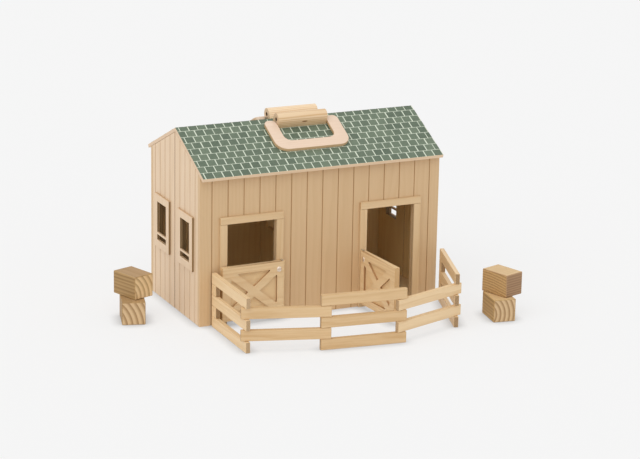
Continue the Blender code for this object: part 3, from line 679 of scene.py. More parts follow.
# Painted shade inside the bores of the ridge blocks.
BORE_SHADE = cut_face("drilled_bore", srgb(96, 66, 40), srgb(70, 46, 26), srgb(80, 54, 32), 0.7)
BLOCK_PINE = Wood("block_pine", srgb(255, 232, 200), srgb(222, 180, 126), srgb(206, 176, 140),
                  ring_strength=0.6, streak_strength=0.6, base_amount=0.15, tone_spread=0.03,
                  edge_darkening=0.05)
KNOTTY_PINE = replace(BLOCK_PINE, name="knotty_pine", pale=srgb(242, 215, 178),
                      dark=srgb(206, 162, 108), base_amount=0.10, knots=((0.0027, -0.0083, -0.0006),))
FASCIA = Wood("roof_fascia", srgb(226, 194, 154), srgb(200, 164, 120), srgb(206, 168, 120),
              ring_strength=0.15, streak_strength=0.3, edge_darkening=-0.6)
FENCE_PINE = Wood("fence_pine", srgb(228, 196, 151), srgb(200, 160, 107), srgb(186, 146, 97),
                  ring_pitch=0.0026, ring_strength=0.28, streak_strength=0.85, fibre_strength=0.5,
                  tone_strength=0.45, roughness=0.5, tone_spread=0.05)
FENCE_PALE = replace(FENCE_PINE, name="fence_pale_pine", pale=srgb(244, 216, 174),
                     dark=srgb(220, 184, 134), end=srgb(206, 168, 118))
FENCE_END = Wood("fence_end", srgb(214, 186, 150), srgb(160, 128, 90), srgb(190, 160, 122),
                 pith=(0, 0.010, 0.012), ring_pitch=0.0016, ring_strength=0.8, streak_strength=0.3,
                 tone_strength=0.8, coat=0.0, roughness=0.7, end_cover=0.35)
FENCE_DARK_END = replace(FENCE_END, name="fence_dark_end", pale=srgb(198, 166, 126),
                         dark=srgb(124, 92, 56), end=srgb(168, 136, 98))
ROOF_BOARD = Wood("roof_board", srgb(240, 214, 184), srgb(220, 190, 154), srgb(222, 192, 160),
                  ring_strength=0.15, streak_strength=0.3, edge_darkening=0.1)
BALE_CUT = Wood("bale_cut", srgb(219, 188, 144), srgb(156, 119, 76), srgb(200, 164, 120),
                ring_wander=0.003, ring_strength=0.8, streak_strength=0.3, fibre_strength=0.2,
                tone_strength=0.3, roughness=0.62, coat=0.04, base_amount=0.12, tone_spread=0.0,
                edge_darkening=0.1, end_cover=0.0, chosen_cut=True)
BALE_PALE_CUT = replace(BALE_CUT, name="pale_bale_cut", pale=srgb(232, 202, 154),
                        dark=srgb(166, 130, 84), ring_strength=0.75, base_amount=0.04)
BALE_FINE_CUT = replace(BALE_CUT, name="fine_bale_cut", pale=srgb(204, 168, 116),
                        dark=srgb(146, 108, 62), ring_wander=0.006, ring_strength=0.6,
                        streak_strength=0.8)
# Side faces of the blocks: darker than their level faces by painted shade.
BALE_SIDE = Wood("bale_side", srgb(188, 152, 98), srgb(128, 94, 48), srgb(174, 136, 86),
                 pith=(0, 0.03, 0.03), ring_pitch=0.0032, ring_wander=0.004, ring_strength=0.4,
                 streak_strength=0.8, tone_strength=0.6, roughness=0.6, coat=0.04, tone_spread=0.02,
                 edge_darkening=-0.2)
# Painted light on the sides of the lower right block.
BALE_LIT_SIDE = replace(BALE_SIDE, name="lit_bale_side", pale=srgb(202, 166, 106),
                        dark=srgb(140, 106, 56))
# Deeper painted shade on the sides of the upper right block.
BALE_SHADED_SIDE = replace(BALE_SIDE, name="dark_bale_side", pale=srgb(178, 141, 102),
                         dark=srgb(124, 88, 58), edge_darkening=-0.6)
# Level faces of the blocks: paler than their sides by painted light from above.
BALE_LEVEL = Wood("bale_level", srgb(190, 156, 112), srgb(158, 123, 76), srgb(180, 144, 100),
                  pith=(0, 0.03, 0.03), ring_pitch=0.0032, ring_strength=0.25, streak_strength=0.7,
                  roughness=0.6, coat=0.04, tone_spread=0.02, edge_darkening=0.0)
# Stronger painted light on the tops of the right blocks.
BALE_LIT_LEVEL = replace(BALE_LEVEL, name="pale_bale_level", pale=srgb(226, 195, 147),
                          dark=srgb(202, 165, 114))
HANDLE_FACE = Wood("handle_face", srgb(242, 218, 196), srgb(222, 190, 160), srgb(214, 174, 130),
                   ring_strength=0.12, streak_strength=0.5, fibre_strength=0.5, tone_strength=0.4,
                   roughness=0.42, coat=0.15, edge_darkening=0.0)
HANDLE_EDGE = Wood("handle_edge", srgb(230, 196, 154), srgb(204, 164, 118), srgb(212, 174, 130),
                   ring_pitch=0.0011, ring_strength=0.4, streak_strength=0.4, roughness=0.5,
                   edge_darkening=0.0)
STEEL = Metal("bright_steel", srgb(214, 212, 208), 0.26)
NICKEL = Metal("satin_nickel", srgb(240, 226, 212), 0.34)
BRASS = Metal("brass_plate", srgb(214, 180, 112), 0.30)


@dataclass
class Bench:
    """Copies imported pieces, eases their arrises and puts them in place."""

    made: List[bpy.types.Object] = field(default_factory=list)
    same_point: float = 0.000002
    flat_angle: float = math.radians(0.4)
    ease_segments: int = 2

    def copy_of(self, node: str, ease: float, round_angle: float = 0.0,
                sharper_than: float = 50.0) -> bpy.types.Object:
        """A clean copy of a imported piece, which then stands for it.

        Args:
            node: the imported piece.
            ease: how wide its sharp outer edges are eased, in metres.
            round_angle: faces that meet under this angle shade as one, in degrees.
            sharper_than: edges are eased where their faces turn by more than this, in degrees.

        Returns:
            The copy, at the origin, without a finish.
        """
        shape = bmesh.new()
        shape.from_mesh(frame["nodes"][node].data)
        bmesh.ops.remove_doubles(shape, verts=shape.verts, dist=self.same_point)
        bmesh.ops.dissolve_limit(shape, angle_limit=self.flat_angle, verts=shape.verts,
                                 edges=shape.edges)
        if ease:
            sharp = [edge for edge in shape.edges if len(edge.link_faces) == 2 and edge.is_convex
                     and edge.calc_face_angle(0.0) > math.radians(sharper_than)]
            bmesh.ops.bevel(shape, geom=sharp, offset=ease, segments=self.ease_segments, profile=0.5,
                            affect="EDGES", clamp_overlap=True)
        bmesh.ops.triangulate(shape, faces=[face for face in shape.faces if len(face.verts) > 4])
        mesh = mesh_of(shape, node + "_dressed")
        mesh.materials.clear()
        shade(mesh, round_angle)
        return placed(node + "_dressed", mesh)

    def settle(self, piece: bpy.types.Object, node: str, replaces: bool = True) -> None:
        """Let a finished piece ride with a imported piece's body, and report it.

        Args:
            piece: the finished piece.
            node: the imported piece.
            replaces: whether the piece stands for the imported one.
        """
        if replaces:
            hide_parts(node)
        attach(piece, frame["nodes"][node]["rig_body"])
        self.made.append(piece)
        LOG.info("%s: %d faces, rides on %s", piece.name, len(piece.data.polygons), piece["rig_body"])

    def board(self, node: str, wood: Wood, turn: Matrix, ease: float = 0.0, round_angle: float = 0.0,
              sharper_than: float = 50.0, others: Sequence[Tuple[Wood, FaceTest]] = ()) -> None:
        """Make a wooden board with its finish.

        Args:
            node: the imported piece.
            wood: its finish.
            turn: rotation to board coordinates.
            ease: width of its eased edges, in metres.
            round_angle: faces that meet under this angle shade as one, in degrees.
            sharper_than: edges are eased where their faces turn by more than this, in degrees.
            others: further finishes, each with the faces that wear it.
        """
        piece = self.copy_of(node, ease, round_angle, sharper_than)
        place = BoardPlace.of_mesh(piece.data, turn)
        piece.data.materials.append(wood.material(node, place))
        for slot, (other, wears) in enumerate(others, start=1):
            piece.data.materials.append(other.material(node, place))
            for face in piece.data.polygons:
                if wears(face):
                    face.material_index = slot
        self.settle(piece, node)

    def metal(self, node: str, metal: Metal, round_angle: float = 40.0) -> None:
        """Make a metal piece with its finish.

        Args:
            node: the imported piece.
            metal: its finish.
            round_angle: faces that meet under this angle shade as one, in degrees.
        """
        piece = self.copy_of(node, 0.0, round_angle)
        piece.data.materials.append(metal.material(node))
        self.settle(piece, node)


# How much of a face's unit normal points along a direction that the face looks in.
SQUARE_ON = 0.7
PAST_CHAMFERS = 0.75
SLANTED = 0.5


def looks_in(direction: Sequence[float]) -> FaceTest:
    """Which faces look in one direction."""
    return lambda face: Vector(face.normal).dot(Vector(direction)) > SQUARE_ON


def looks_along(direction: Vector) -> FaceTest:
    """Which faces look along a direction or against it, chamfers left out."""
    return lambda face: abs(Vector(face.normal).dot(direction)) > PAST_CHAMFERS


def in_groove(face: bpy.types.MeshPolygon) -> bool:
    """Whether a wall's face is one flank of a V groove."""
    return abs(face.normal.x) > SLANTED and abs(face.normal.y) > SLANTED


def on_upright_rim(face: bpy.types.MeshPolygon) -> bool:
    """Whether a window frame's face is one of its upright rims."""
    return abs(face.normal.y) > SQUARE_ON


@dataclass
class Shell:
    """The walls, end walls, floors, divider and window frames of both halves."""

    wall_ease: float = 0.0003
    gable_ease: float = 0.0005
    frame_ease: float = 0.0002
    window_heights: Tuple[float, float] = (0.055, 0.150)
    window_reach: Tuple[float, float] = (0.015, 0.070)
    seam_reach: float = 0.0010
    seam_tilt: float = 0.3

    def at_seam(self, face: bpy.types.MeshPolygon) -> bool:
        """Whether a face belongs to the seam between the two halves."""
        return abs(face.center.y) < self.seam_reach and abs(face.normal.y) > self.seam_tilt

    def in_window(self, face: bpy.types.MeshPolygon) -> bool:
        """Whether a face of an end wall belongs to the reveal of its window.

        Args:
            face: one face of the wall.

        Returns:
            Whether it does.
        """
        low, high = self.window_heights
        near, far = self.window_reach
        beside = near < abs(face.center.y) < far and low < face.center.z < high
        return beside and abs(face.normal.x) < SLANTED

    def dress(self, bench: Bench) -> None:
        """Dress the long walls, the end walls and what is fixed to them.

        Args:
            bench: copies and places the pieces.
        """
        up_long = Grain.UP_LONG_WALL.board_frame()
        up_end = Grain.UP_END_WALL.board_frame()
        for side in Side:
            # Groove flanks carry painted shade with the milled wood's tone.
            bench.board(side.named("wall"), WALL_PLY, up_long, self.wall_ease,
                        others=[(WALL_GROOVE_AND_SHADE, in_groove), (INNER_PLY, looks_in((0, -side.value, 0)))])
            bench.board(side.named("floor"), PINE, Grain.LEVEL.board_frame(), self.wall_ease)
            for hand in Hand:
                # End walls and frames wear ply with painted light; their grooves, seam and window reveals
                # carry painted shade.
                bench.board(side.named(hand.named("gable")), LIT_GABLE_PLY, up_end, self.gable_ease,
                            others=[(GABLE_GROOVE_LIGHT_AND_SHADE, in_groove), (SEAM_SHADE, self.at_seam),
                                    (PLY_EDGE_AND_SHADE, self.in_window),
                                    (INNER_PLY, looks_in((-hand.value, 0, 0)))])
                bench.board(side.named(hand.named("window_frame")), LIT_GABLE_PLY, up_end, self.frame_ease,
                            others=[(BURNT_EDGE, on_upright_rim)])
        bench.board("stall_divider", INNER_PLY, up_end, self.wall_ease)


@dataclass
class StallFronts:
    """The trim round the stalls, and the half doors on their pins."""

    hinge_across: float = 0.05825
    hinge_ahead: float = 0.0913
    door_thickness: float = 0.007
    door_ease: float = 0.0005
    trim_ease: float = 0.0002
    pocket_start: float = 0.008
    pocket_depths: Tuple[float, float] = (0.0006, 0.0029)
    cap_across: float = 0.0054
    cap_height: float = 0.0685
    cap_radius: float = 0.0036
    cap_rise: float = 0.0012
    cap_sides: int = 32
    cap_cut: float = -0.01
    cap_round_angle: float = 50.0
    door_rests: Dict[Hand, float] = field(default_factory=lambda: {
        Hand.LEFT: math.radians(1.5), Hand.RIGHT: math.radians(85.5)})

    def pin_place(self, hand: Hand) -> Vector:
        """Where a door's pin stands."""
        return Vector((hand.value * self.hinge_across, -self.hinge_ahead, 0))

    def swing(self, hand: Hand) -> Matrix:
        """How a door is turned in the photograph."""
        return Matrix.Rotation(-hand.value * self.door_rests[hand], 3, "Z")

    def door_frame(self, hand: Hand) -> Matrix:
        """Board coordinates of a half door as it stands in the photograph."""
        turn = self.swing(hand)
        return board_frame(turn @ Vector((1, 0, 0)), turn @ Vector((0, -1, 0)))

    def in_pocket(self, hand: Hand, floor: bool) -> FaceTest:
        """Which of a door's faces belong to the routed pockets of its brace.

        Args:
            hand: the door.
            floor: whether the pockets' floors are wanted, or else their rims.

        Returns:
            A test of one face.
        """
        turn, pin = self.door_frame(hand), self.pin_place(hand)
        shallow, deep = self.pocket_depths

        def test(face: bpy.types.MeshPolygon) -> bool:
            """Whether a face belongs to the wanted part of a pocket.

            Args:
                face: one face of the door.

            Returns:
                Whether it does.
            """
            spot = turn @ (Vector(face.center) - pin)
            level = abs((turn @ Vector(face.normal)).z) > SQUARE_ON
            inside = spot.x * hand.value > self.pocket_start
            return inside and level is floor and shallow < self.door_thickness / 2 - spot.z < deep
        return test

    def cap(self, bench: Bench, hand: Hand) -> None:
        """Make the low domed cap near the top of a door, above its pin's end.

        Args:
            bench: places the cap.
            hand: the door.
        """
        shape = bmesh.new()
        bmesh.ops.create_uvsphere(shape, u_segments=self.cap_sides, v_segments=self.cap_sides // 2,
                                  radius=1.0)
        lower_half = [vertex for vertex in shape.verts if vertex.co.z < self.cap_cut]
        bmesh.ops.delete(shape, geom=lower_half, context="VERTS")
        bmesh.ops.contextual_create(shape, geom=[edge for edge in shape.edges if edge.is_boundary])
        dome = Matrix.Rotation(math.pi / 2, 4, "X") @ Matrix.Diagonal(
            (self.cap_radius, self.cap_radius, self.cap_rise, 1))
        on_door = Matrix.Translation((hand.value * self.cap_across, -self.door_thickness / 2,
                                      self.cap_height))
        pin = Matrix.Translation(self.pin_place(hand))
        bmesh.ops.transform(shape, matrix=pin @ self.swing(hand).to_4x4() @ on_door @ dome,
                            verts=shape.verts)
        name = hand.named("door_cap")
        mesh = mesh_of(shape, name)
        shade(mesh, self.cap_round_angle)
        mesh.materials.append(NICKEL.material(name))
        bench.settle(placed(name, mesh), hand.named("door"), replaces=False)

    def dress(self, bench: Bench) -> None:
        """Dress both stalls.

        Args:
            bench: copies and places the pieces.
        """
        level = Grain.ALONG_RIDGE.board_frame()
        upright = Grain.UP_LONG_WALL.board_frame()
        for hand in Hand:
            bench.board(hand.named("stall_head"), TRIM_PINE, level, self.trim_ease)
            for word in ("outer_stile", "inner_stile"):
                bench.board(hand.named(word), TRIM_PINE, upright, self.trim_ease)
            # The pocket rims of each door carry painted shade.
            bench.board(hand.named("door"), PINE, self.door_frame(hand), self.door_ease,
                        others=[(RECESS, self.in_pocket(hand, True)),
                                (RECESS_RIM_AND_SHADE, self.in_pocket(hand, False))])
            bench.metal(hand.named("door_pin"), STEEL)
            self.cap(bench, hand)


def geometry_tree(name: str, inputs: Sequence[Tuple[str, str]]
                  ) -> Tuple[bpy.types.NodeTree, Wiring, bpy.types.NodeOutputs]:
    """A new Geometry Nodes tree with named inputs and one output.

    Args:
        name: the tree's name.
        inputs: name and socket type of each input.

    Returns:
        The tree, its wiring, and what its inputs put out.
    """
    tree = bpy.data.node_groups.new(name, "GeometryNodeTree")
    for label, kind in inputs:
        tree.interface.new_socket(name=label, in_out="INPUT", socket_type=kind)
    tree.interface.new_socket(name="Geometry", in_out="OUTPUT", socket_type=GEOMETRY)
    wires = Wiring(tree)
    return tree, wires, wires.add("NodeGroupInput").outputs


def end_tree(wires: Wiring, instances: Feed, material: Feed, spent: Sequence[str] = ()) -> None:
    """End a tree: realize its instances, drop spent attributes and set the material.

    Args:
        wires: the tree's wiring.
        instances: the instances that it placed.
        material: the material of the result.
        spent: names of the attributes that nothing reads any more.
    """
    shape = wires.add("GeometryNodeRealizeInstances", {"Geometry": instances}).outputs[0]
    for name in spent:
        shape = wires.add("GeometryNodeRemoveAttribute", {"Geometry": shape, "Name": name}).outputs[0]
    done = wires.add("GeometryNodeSetMaterial", {"Geometry": shape, "Material": material}).outputs[0]
    wires.add("NodeGroupOutput", {0: done})


def grown(name: str, tree: bpy.types.NodeTree, values: Dict[str, object]) -> bpy.types.Object:
    """A plain mesh made by a Geometry Nodes tree.

    Args:
        name: the new piece's name.
        tree: the tree that makes it.
        values: what goes into the tree's named inputs.

    Returns:
        The piece, at the origin, with no modifier left on it.
    """
    host = placed(name + "_source", bpy.data.meshes.new(name + "_source"))
    step = host.modifiers.new("grow", "NODES")
    step.node_group = tree
    for item in tree.interface.items_tree:
        if item.item_type == "SOCKET" and item.in_out == "INPUT":
            step[item.identifier] = values[item.name]
    view = bpy.context.evaluated_depsgraph_get()
    mesh = bpy.data.meshes.new_from_object(host.evaluated_get(view))
    mesh.name = name
    bpy.data.objects.remove(host, do_unlink=True)
    return placed(name, mesh)


@dataclass
class Roof:
    """The printed roof slopes with their ridge blocks and handles."""

    ridge_height: float = 0.243
    slope: float = math.radians(25.2)
    width: float = 0.340
    length: float = 0.1054
    first_course: float = 0.0090
    course_pitch: float = 0.01205
    courses: int = 9
    tile_width: float = 0.01242
    narrow_share: float = 0.5
    tile_shift: float = 0.0020
    side_joint: float = 0.0014
    course_joint: float = 0.0009
    end_inset: float = 0.0003
    wander: float = 0.00025
    narrowest_tile: float = 0.001
    spare_columns: int = 2
    print_seed: int = 7
    wander_seed_step: int = 31
    tile_thickness: float = 0.00012
    tile_tones: Tuple[float, float] = (0.22, 0.78)
    board_ease: float = 0.0003
    board_top_tilt: Tuple[float, float] = (0.98, 0.999)
    fascia_reach: float = 0.08
    fascia_tilt: float = 0.95
    block_ease: float = 0.0003
    bore_down: float = 0.0127
    bore_lift: float = 0.0086
    bore_reach: float = 0.0028
    handle_ease: float = 0.0004
    handle_tilt: float = math.radians(1.36)
    handle_rim_tilt: float = 0.35
    tile_pale: Colour = srgb(117, 132, 110)
    tile_dark: Colour = srgb(76, 93, 75)
    tile_speck: Colour = srgb(118, 94, 72)
    joint_colour: Colour = srgb(218, 226, 206)
    cloud_pitch: float = 0.0024
    cloud_strength: float = 0.9
    specks: float = 900.0
    speck_levels: Tuple[float, float] = (0.60, 0.74)
    speck_cover: float = 0.5
    print_roughness: float = 0.55
    cloud_roughness: float = 0.3

    def slope_frame(self, side: Side) -> Matrix:
        """Where a slope lies: X along the ridge, Z out of the slope."""
        turn = Matrix.Rotation(-side.value * self.slope, 4, "X")
        return Matrix.Translation((0, 0, self.ridge_height)) @ turn

    def board_turn(self, side: Side, extra: float = 0.0) -> Matrix:
        """Board coordinates of a piece on a slope, with its grain along the ridge."""
        turn = Matrix.Rotation(-side.value * (self.slope + extra), 3, "X")
        return board_frame(Vector((1, 0, 0)), turn @ Vector((0, 0, 1)))

    def print_material(self) -> bpy.types.Material:
        """The green of the shingles: each has its own tone, and fine specks.

        Returns:
            The print's material.
        """
        material, wires, shader = new_material("printed_shingle")
        place = wires.add("ShaderNodeTexCoord").outputs["Object"]
        tone = wires.add("ShaderNodeAttribute", attribute_name="tile_tone").outputs["Fac"]
        clouds = EFFECTS.mottle.place(wires, {"Place": place, "Pitch": self.cloud_pitch,
                                              "Strength": self.cloud_strength})["Amount"]
        share = wires.math("ADD", tone, clouds, clamp=True)
        green = wires.blend(share, (*self.tile_dark, 1), (*self.tile_pale, 1))
        specks = wires.noise(place, (self.specks,) * 3).outputs["Fac"]
        brown = wires.ramp(specks, *self.speck_levels, 0.0, self.speck_cover)
        wires.feed(shader.inputs["Base Color"], wires.blend(brown, green, (*self.tile_speck, 1)))
        wires.feed(shader.inputs["Roughness"],
                   wires.math("MULTIPLY_ADD", clouds, self.cloud_roughness, self.print_roughness))
        return material

    def ground_material(self, side: Side, place: BoardPlace) -> bpy.types.Material:
        """The roof board: pale ground under the shingles and bare wood elsewhere.

        Args:
            side: the slope.
            place: where its board lies.

        Returns:
            The board's material.
        """
        material = ROOF_BOARD.material(side.named("roof"), place)
        wires = Wiring(material.node_tree)
        shader = material.node_tree.nodes["Principled BSDF"]
        wood = shader.inputs["Base Color"].links[0].from_socket
        normal = wires.add("ShaderNodeTexCoord").outputs["Normal"]
        facing = wires.number_of("DOT_PRODUCT", normal, tuple(self.board_turn(side).row[2]))
        top = wires.ramp(facing, *self.board_top_tilt)
        wires.feed(shader.inputs["Base Color"], wires.blend(top, wood, (*self.joint_colour, 1)))
        return material

    @staticmethod
    def shingle_tree() -> bpy.types.NodeTree:
        """The tree that lays courses of shingles, clipped at the roof's ends.

        Returns:
            The tree.
        """
        tree, wires, size = geometry_tree("shingle_courses", [
            ("Roof Width", NUMBER), ("Tile Width", NUMBER), ("Narrow Tile", NUMBER),
            ("First Course", NUMBER), ("Course Pitch", NUMBER), ("Courses", COUNT), ("Columns", COUNT),
            ("Shift", NUMBER), ("Side Joint", NUMBER), ("Course Joint", NUMBER), ("End Inset", NUMBER),
            ("Wander", NUMBER), ("Narrowest", NUMBER), ("Thickness", NUMBER), ("Pale Share", NUMBER),
            ("Dark Share", NUMBER), ("Wander Seed", COUNT), ("Tone Seed", COUNT), ("Material", MATERIAL)])
        index = wires.add("GeometryNodeInputIndex").outputs[0]
        row = wires.math("FLOOR", wires.math("DIVIDE", index, size["Columns"]))
        column = wires.math("MODULO", index, size["Columns"])
        even = wires.math("SUBTRACT", 1.0, wires.math("MODULO", row, 2.0))
        cut = wires.math("SUBTRACT", size["Tile Width"], size["Narrow Tile"])
        left = wires.math("SUBTRACT", wires.math("MULTIPLY", column, size["Tile Width"]),
                          wires.math("MULTIPLY", even, cut))
        left = wires.math("SUBTRACT", left, size["Shift"])
        off = wires.drawn(wires.math("MULTIPLY", size["Wander"], -1.0), size["Wander"],
                          size["Wander Seed"])
        left = wires.math("ADD", left, off)
        start = wires.math("MAXIMUM", wires.math("MULTIPLY_ADD", size["Side Joint"], 0.5, left),
                           size["End Inset"])
        right = wires.math("SUBTRACT", wires.math("ADD", left, size["Tile Width"]),
                           wires.math("MULTIPLY", size["Side Joint"], 0.5))
        stop = wires.math("MINIMUM", right,
                          wires.math("SUBTRACT", size["Roof Width"], size["End Inset"]))
        across = wires.math("SUBTRACT", stop, start)
        middle = wires.math("MULTIPLY", wires.math("ADD", start, stop), 0.5)
        low_line = wires.math("MULTIPLY_ADD", row, size["Course Pitch"], size["First Course"])
        low = wires.math("MULTIPLY_ADD", size["Course Joint"], -0.5, low_line)
        high = wires.math("SUBTRACT", wires.math("MULTIPLY_ADD", size["Course Joint"], 0.5, low_line),
                          size["Course Pitch"])
        high = wires.math("MAXIMUM", high, size["End Inset"])
        height = wires.math("SUBTRACT", low, high)
        down = wires.math("MULTIPLY", wires.math("ADD", low, high), 0.5)
        place = wires.joined(wires.math("MULTIPLY_ADD", size["Roof Width"], -0.5, middle),
                             wires.math("MULTIPLY", down, -1.0),
                             wires.math("MULTIPLY", size["Thickness"], 0.5))
        tiles = wires.math("MULTIPLY", size["Courses"], size["Columns"])
        laid = wires.add("GeometryNodeSetPosition", {
            "Geometry": wires.add("GeometryNodePoints", {"Count": tiles}).outputs[0],
            "Position": place}).outputs[0]
        for name, kind, value in (
                ("tile_size", "FLOAT_VECTOR", wires.joined(across, height, size["Thickness"])),
                ("tile_tone", "FLOAT", wires.drawn(size["Dark Share"], size["Pale Share"],
                                                   size["Tone Seed"]))):
            laid = wires.add("GeometryNodeStoreNamedAttribute", {
                "Geometry": laid, "Name": name, "Value": value}, data_type=kind).outputs[0]
        sliver = wires.math("LESS_THAN", across, size["Narrowest"])
        kept = wires.add("GeometryNodeDeleteGeometry", {"Geometry": laid, "Selection": sliver}).outputs[0]
        tile = wires.add("GeometryNodeMeshCube", {"Size": (1.0, 1.0, 1.0)}).outputs[0]
        stored = wires.add("GeometryNodeInputNamedAttribute", {"Name": "tile_size"},
                           data_type="FLOAT_VECTOR").outputs[0]
        rows = wires.add("GeometryNodeInstanceOnPoints", {"Points": kept, "Instance": tile,
                                                          "Scale": stored}).outputs[0]
        end_tree(wires, rows, size["Material"], spent=("tile_size",))
        return tree

    def shingles(self, side: Side, tree: bpy.types.NodeTree,
                 green: bpy.types.Material) -> bpy.types.Object:
        """Lay the printed shingles of one slope.

        Args:
            side: the slope.
            tree: lays the courses.
            green: the print's material.

        Returns:
            The shingles as one piece.
        """
        dark_share, pale_share = self.tile_tones
        seed = self.print_seed + side.value
        piece = grown(side.named("roof_shingles"), tree, {
            "Roof Width": self.width, "Tile Width": self.tile_width,
            "Narrow Tile": self.tile_width * self.narrow_share,
            "First Course": self.first_course, "Course Pitch": self.course_pitch,
            "Courses": self.courses,
            "Columns": math.ceil(self.width / self.tile_width) + self.spare_columns,
            "Shift": self.tile_shift, "Side Joint": self.side_joint,
            "Course Joint": self.course_joint, "End Inset": self.end_inset, "Wander": self.wander,
            "Narrowest": self.narrowest_tile, "Thickness": self.tile_thickness,
            "Pale Share": pale_share, "Dark Share": dark_share,
            "Wander Seed": seed + self.wander_seed_step, "Tone Seed": seed, "Material": green})
        about_face = Matrix.Rotation(math.pi if side is Side.BACK else 0.0, 4, "Z")
        piece.data.transform(self.slope_frame(side) @ about_face)
        return piece

    def on_handle_rim(self, side: Side) -> FaceTest:
        """Whether a handle's face is one of its rims."""
        out = self.board_turn(side, self.handle_tilt).row[2]
        return lambda face: abs(Vector(face.normal).dot(out)) < self.handle_rim_tilt

    def in_bore(self, side: Side) -> FaceTest:
        """Whether a ridge block's face is the wall of its bore.

        Args:
            side: the slope.

        Returns:
            A test of one face.
        """
        into = self.slope_frame(side).inverted()

        def test(face: bpy.types.MeshPolygon) -> bool:
            """Whether a face is part of the bore's wall.

            Args:
                face: one face of the block.

            Returns:
                Whether it is.
            """
            spot = into @ Vector(face.center)
            off = math.hypot(spot.y - side.value * self.bore_down, spot.z - self.bore_lift)
            return off < self.bore_reach and abs(face.normal.x) < SLANTED
        return test

    def on_fascia(self, face: bpy.types.MeshPolygon) -> bool:
        """Whether a roof board's face is the one along its eave."""
        return abs(face.normal.y) > self.fascia_tilt and abs(face.center.y) > self.fascia_reach

    def dress(self, bench: Bench) -> None:
        """Dress both slopes.

        Args:
            bench: copies and places the pieces.
        """
        tree = self.shingle_tree()
        green = self.print_material()
        for side in Side:
            node, front = side.named("roof"), side is Side.FRONT
            board = bench.copy_of(node, self.board_ease)
            place = BoardPlace.of_mesh(board.data, self.board_turn(side))
            board.data.materials.append(self.ground_material(side, place))
            board.data.materials.append(FASCIA.material(side.named("fascia"), place))
            for face in board.data.polygons:
                face.material_index = int(self.on_fascia(face))
            bench.settle(board, node)
            bench.settle(self.shingles(side, tree, green), node, replaces=False)
            # The bore walls of each ridge block carry painted shade.
            bench.board(side.named("ridge_block"), KNOTTY_PINE if front else BLOCK_PINE,
                        self.board_turn(side), self.block_ease, round_angle=25,
                        others=[(BORE_SHADE, self.in_bore(side))])
            bench.board(side.named("handle"), HANDLE_FACE, self.board_turn(side, self.handle_tilt),
                        self.handle_ease, round_angle=35, sharper_than=40,
                        others=[(HANDLE_EDGE if front else HANDLE_FACE, self.on_handle_rim(side))])
            bench.metal(side.named("handle_rod"), STEEL)


@dataclass
class EndHinge:
    """The long hinge on the right end wall, with its screws."""

    face_across: float = 0.1713
    leaf_middle: float = 0.0086
    low_screw: float = 0.030
    screw_pitch: float = 0.040
    screws: int = 5
    head_radius: float = 0.0017
    head_height: float = 0.0004
    head_sides: int = 20
    head_taper: float = 0.8
    slot_length: float = 1.1
    slot_width: float = 0.22
    slot_lift: float = 1.1

    def screw_tree(self) -> bpy.types.NodeTree:
        """A row of low round heads with a cross slot.

        Returns:
            The tree that makes them.
        """
        tree, wires, size = geometry_tree("screw_row", [
            ("Count", COUNT), ("Pitch", NUMBER), ("Head Radius", NUMBER), ("Head Height", NUMBER),
            ("Material", MATERIAL)])
        stride = wires.joined(0.0, 0.0, size["Pitch"])
        row = wires.add("GeometryNodeMeshLine", {"Count": size["Count"], "Offset": stride}).outputs[0]
        head = wires.add("GeometryNodeMeshCone", {
            "Vertices": self.head_sides, "Side Segments": 1,
            "Radius Top": wires.math("MULTIPLY", size["Head Radius"], self.head_taper),
            "Radius Bottom": size["Head Radius"], "Depth": size["Head Height"]}).outputs["Mesh"]
        long_slot = wires.math("MULTIPLY", size["Head Radius"], self.slot_length)
        thin_slot = wires.math("MULTIPLY", size["Head Radius"], self.slot_width)
        lift = wires.joined(0.0, 0.0, wires.math("MULTIPLY", size["Head Height"], self.slot_lift))
        cut = wires.add("GeometryNodeMeshBoolean", {"Mesh 1": head}, operation="DIFFERENCE",
                        solver="EXACT")
        for across, along in ((long_slot, thin_slot), (thin_slot, long_slot)):
            slot = wires.add("GeometryNodeMeshCube", {
                "Size": wires.joined(across, along, size["Head Height"])}).outputs[0]
            lifted = wires.add("GeometryNodeTransform", {"Geometry": slot, "Translation": lift})
            wires.feed(cut.inputs["Mesh 2"], lifted.outputs[0])
        heads = wires.add("GeometryNodeInstanceOnPoints", {
            "Points": row, "Instance": cut.outputs[0],
            "Rotation": (0.0, math.pi / 2, 0.0)}).outputs[0]
        end_tree(wires, heads, size["Material"])
        return tree

    def dress(self, bench: Bench) -> None:
        """Dress both leaves and add their screws.

        Args:
            bench: copies and places the pieces.
        """
        tree = self.screw_tree()
        for side in Side:
            node = side.named("hinge_leaf")
            bench.metal(node, BRASS, round_angle=25)
            row = grown(side.named("hinge_screws"), tree, {
                "Count": self.screws, "Pitch": self.screw_pitch, "Head Radius": self.head_radius,
                "Head Height": self.head_height, "Material": BRASS.material(side.named("screws"))})
            row.data.transform(Matrix.Translation((self.face_across, side.value * self.leaf_middle,
                                                   self.low_screw)))
            bench.settle(row, node, replaces=False)


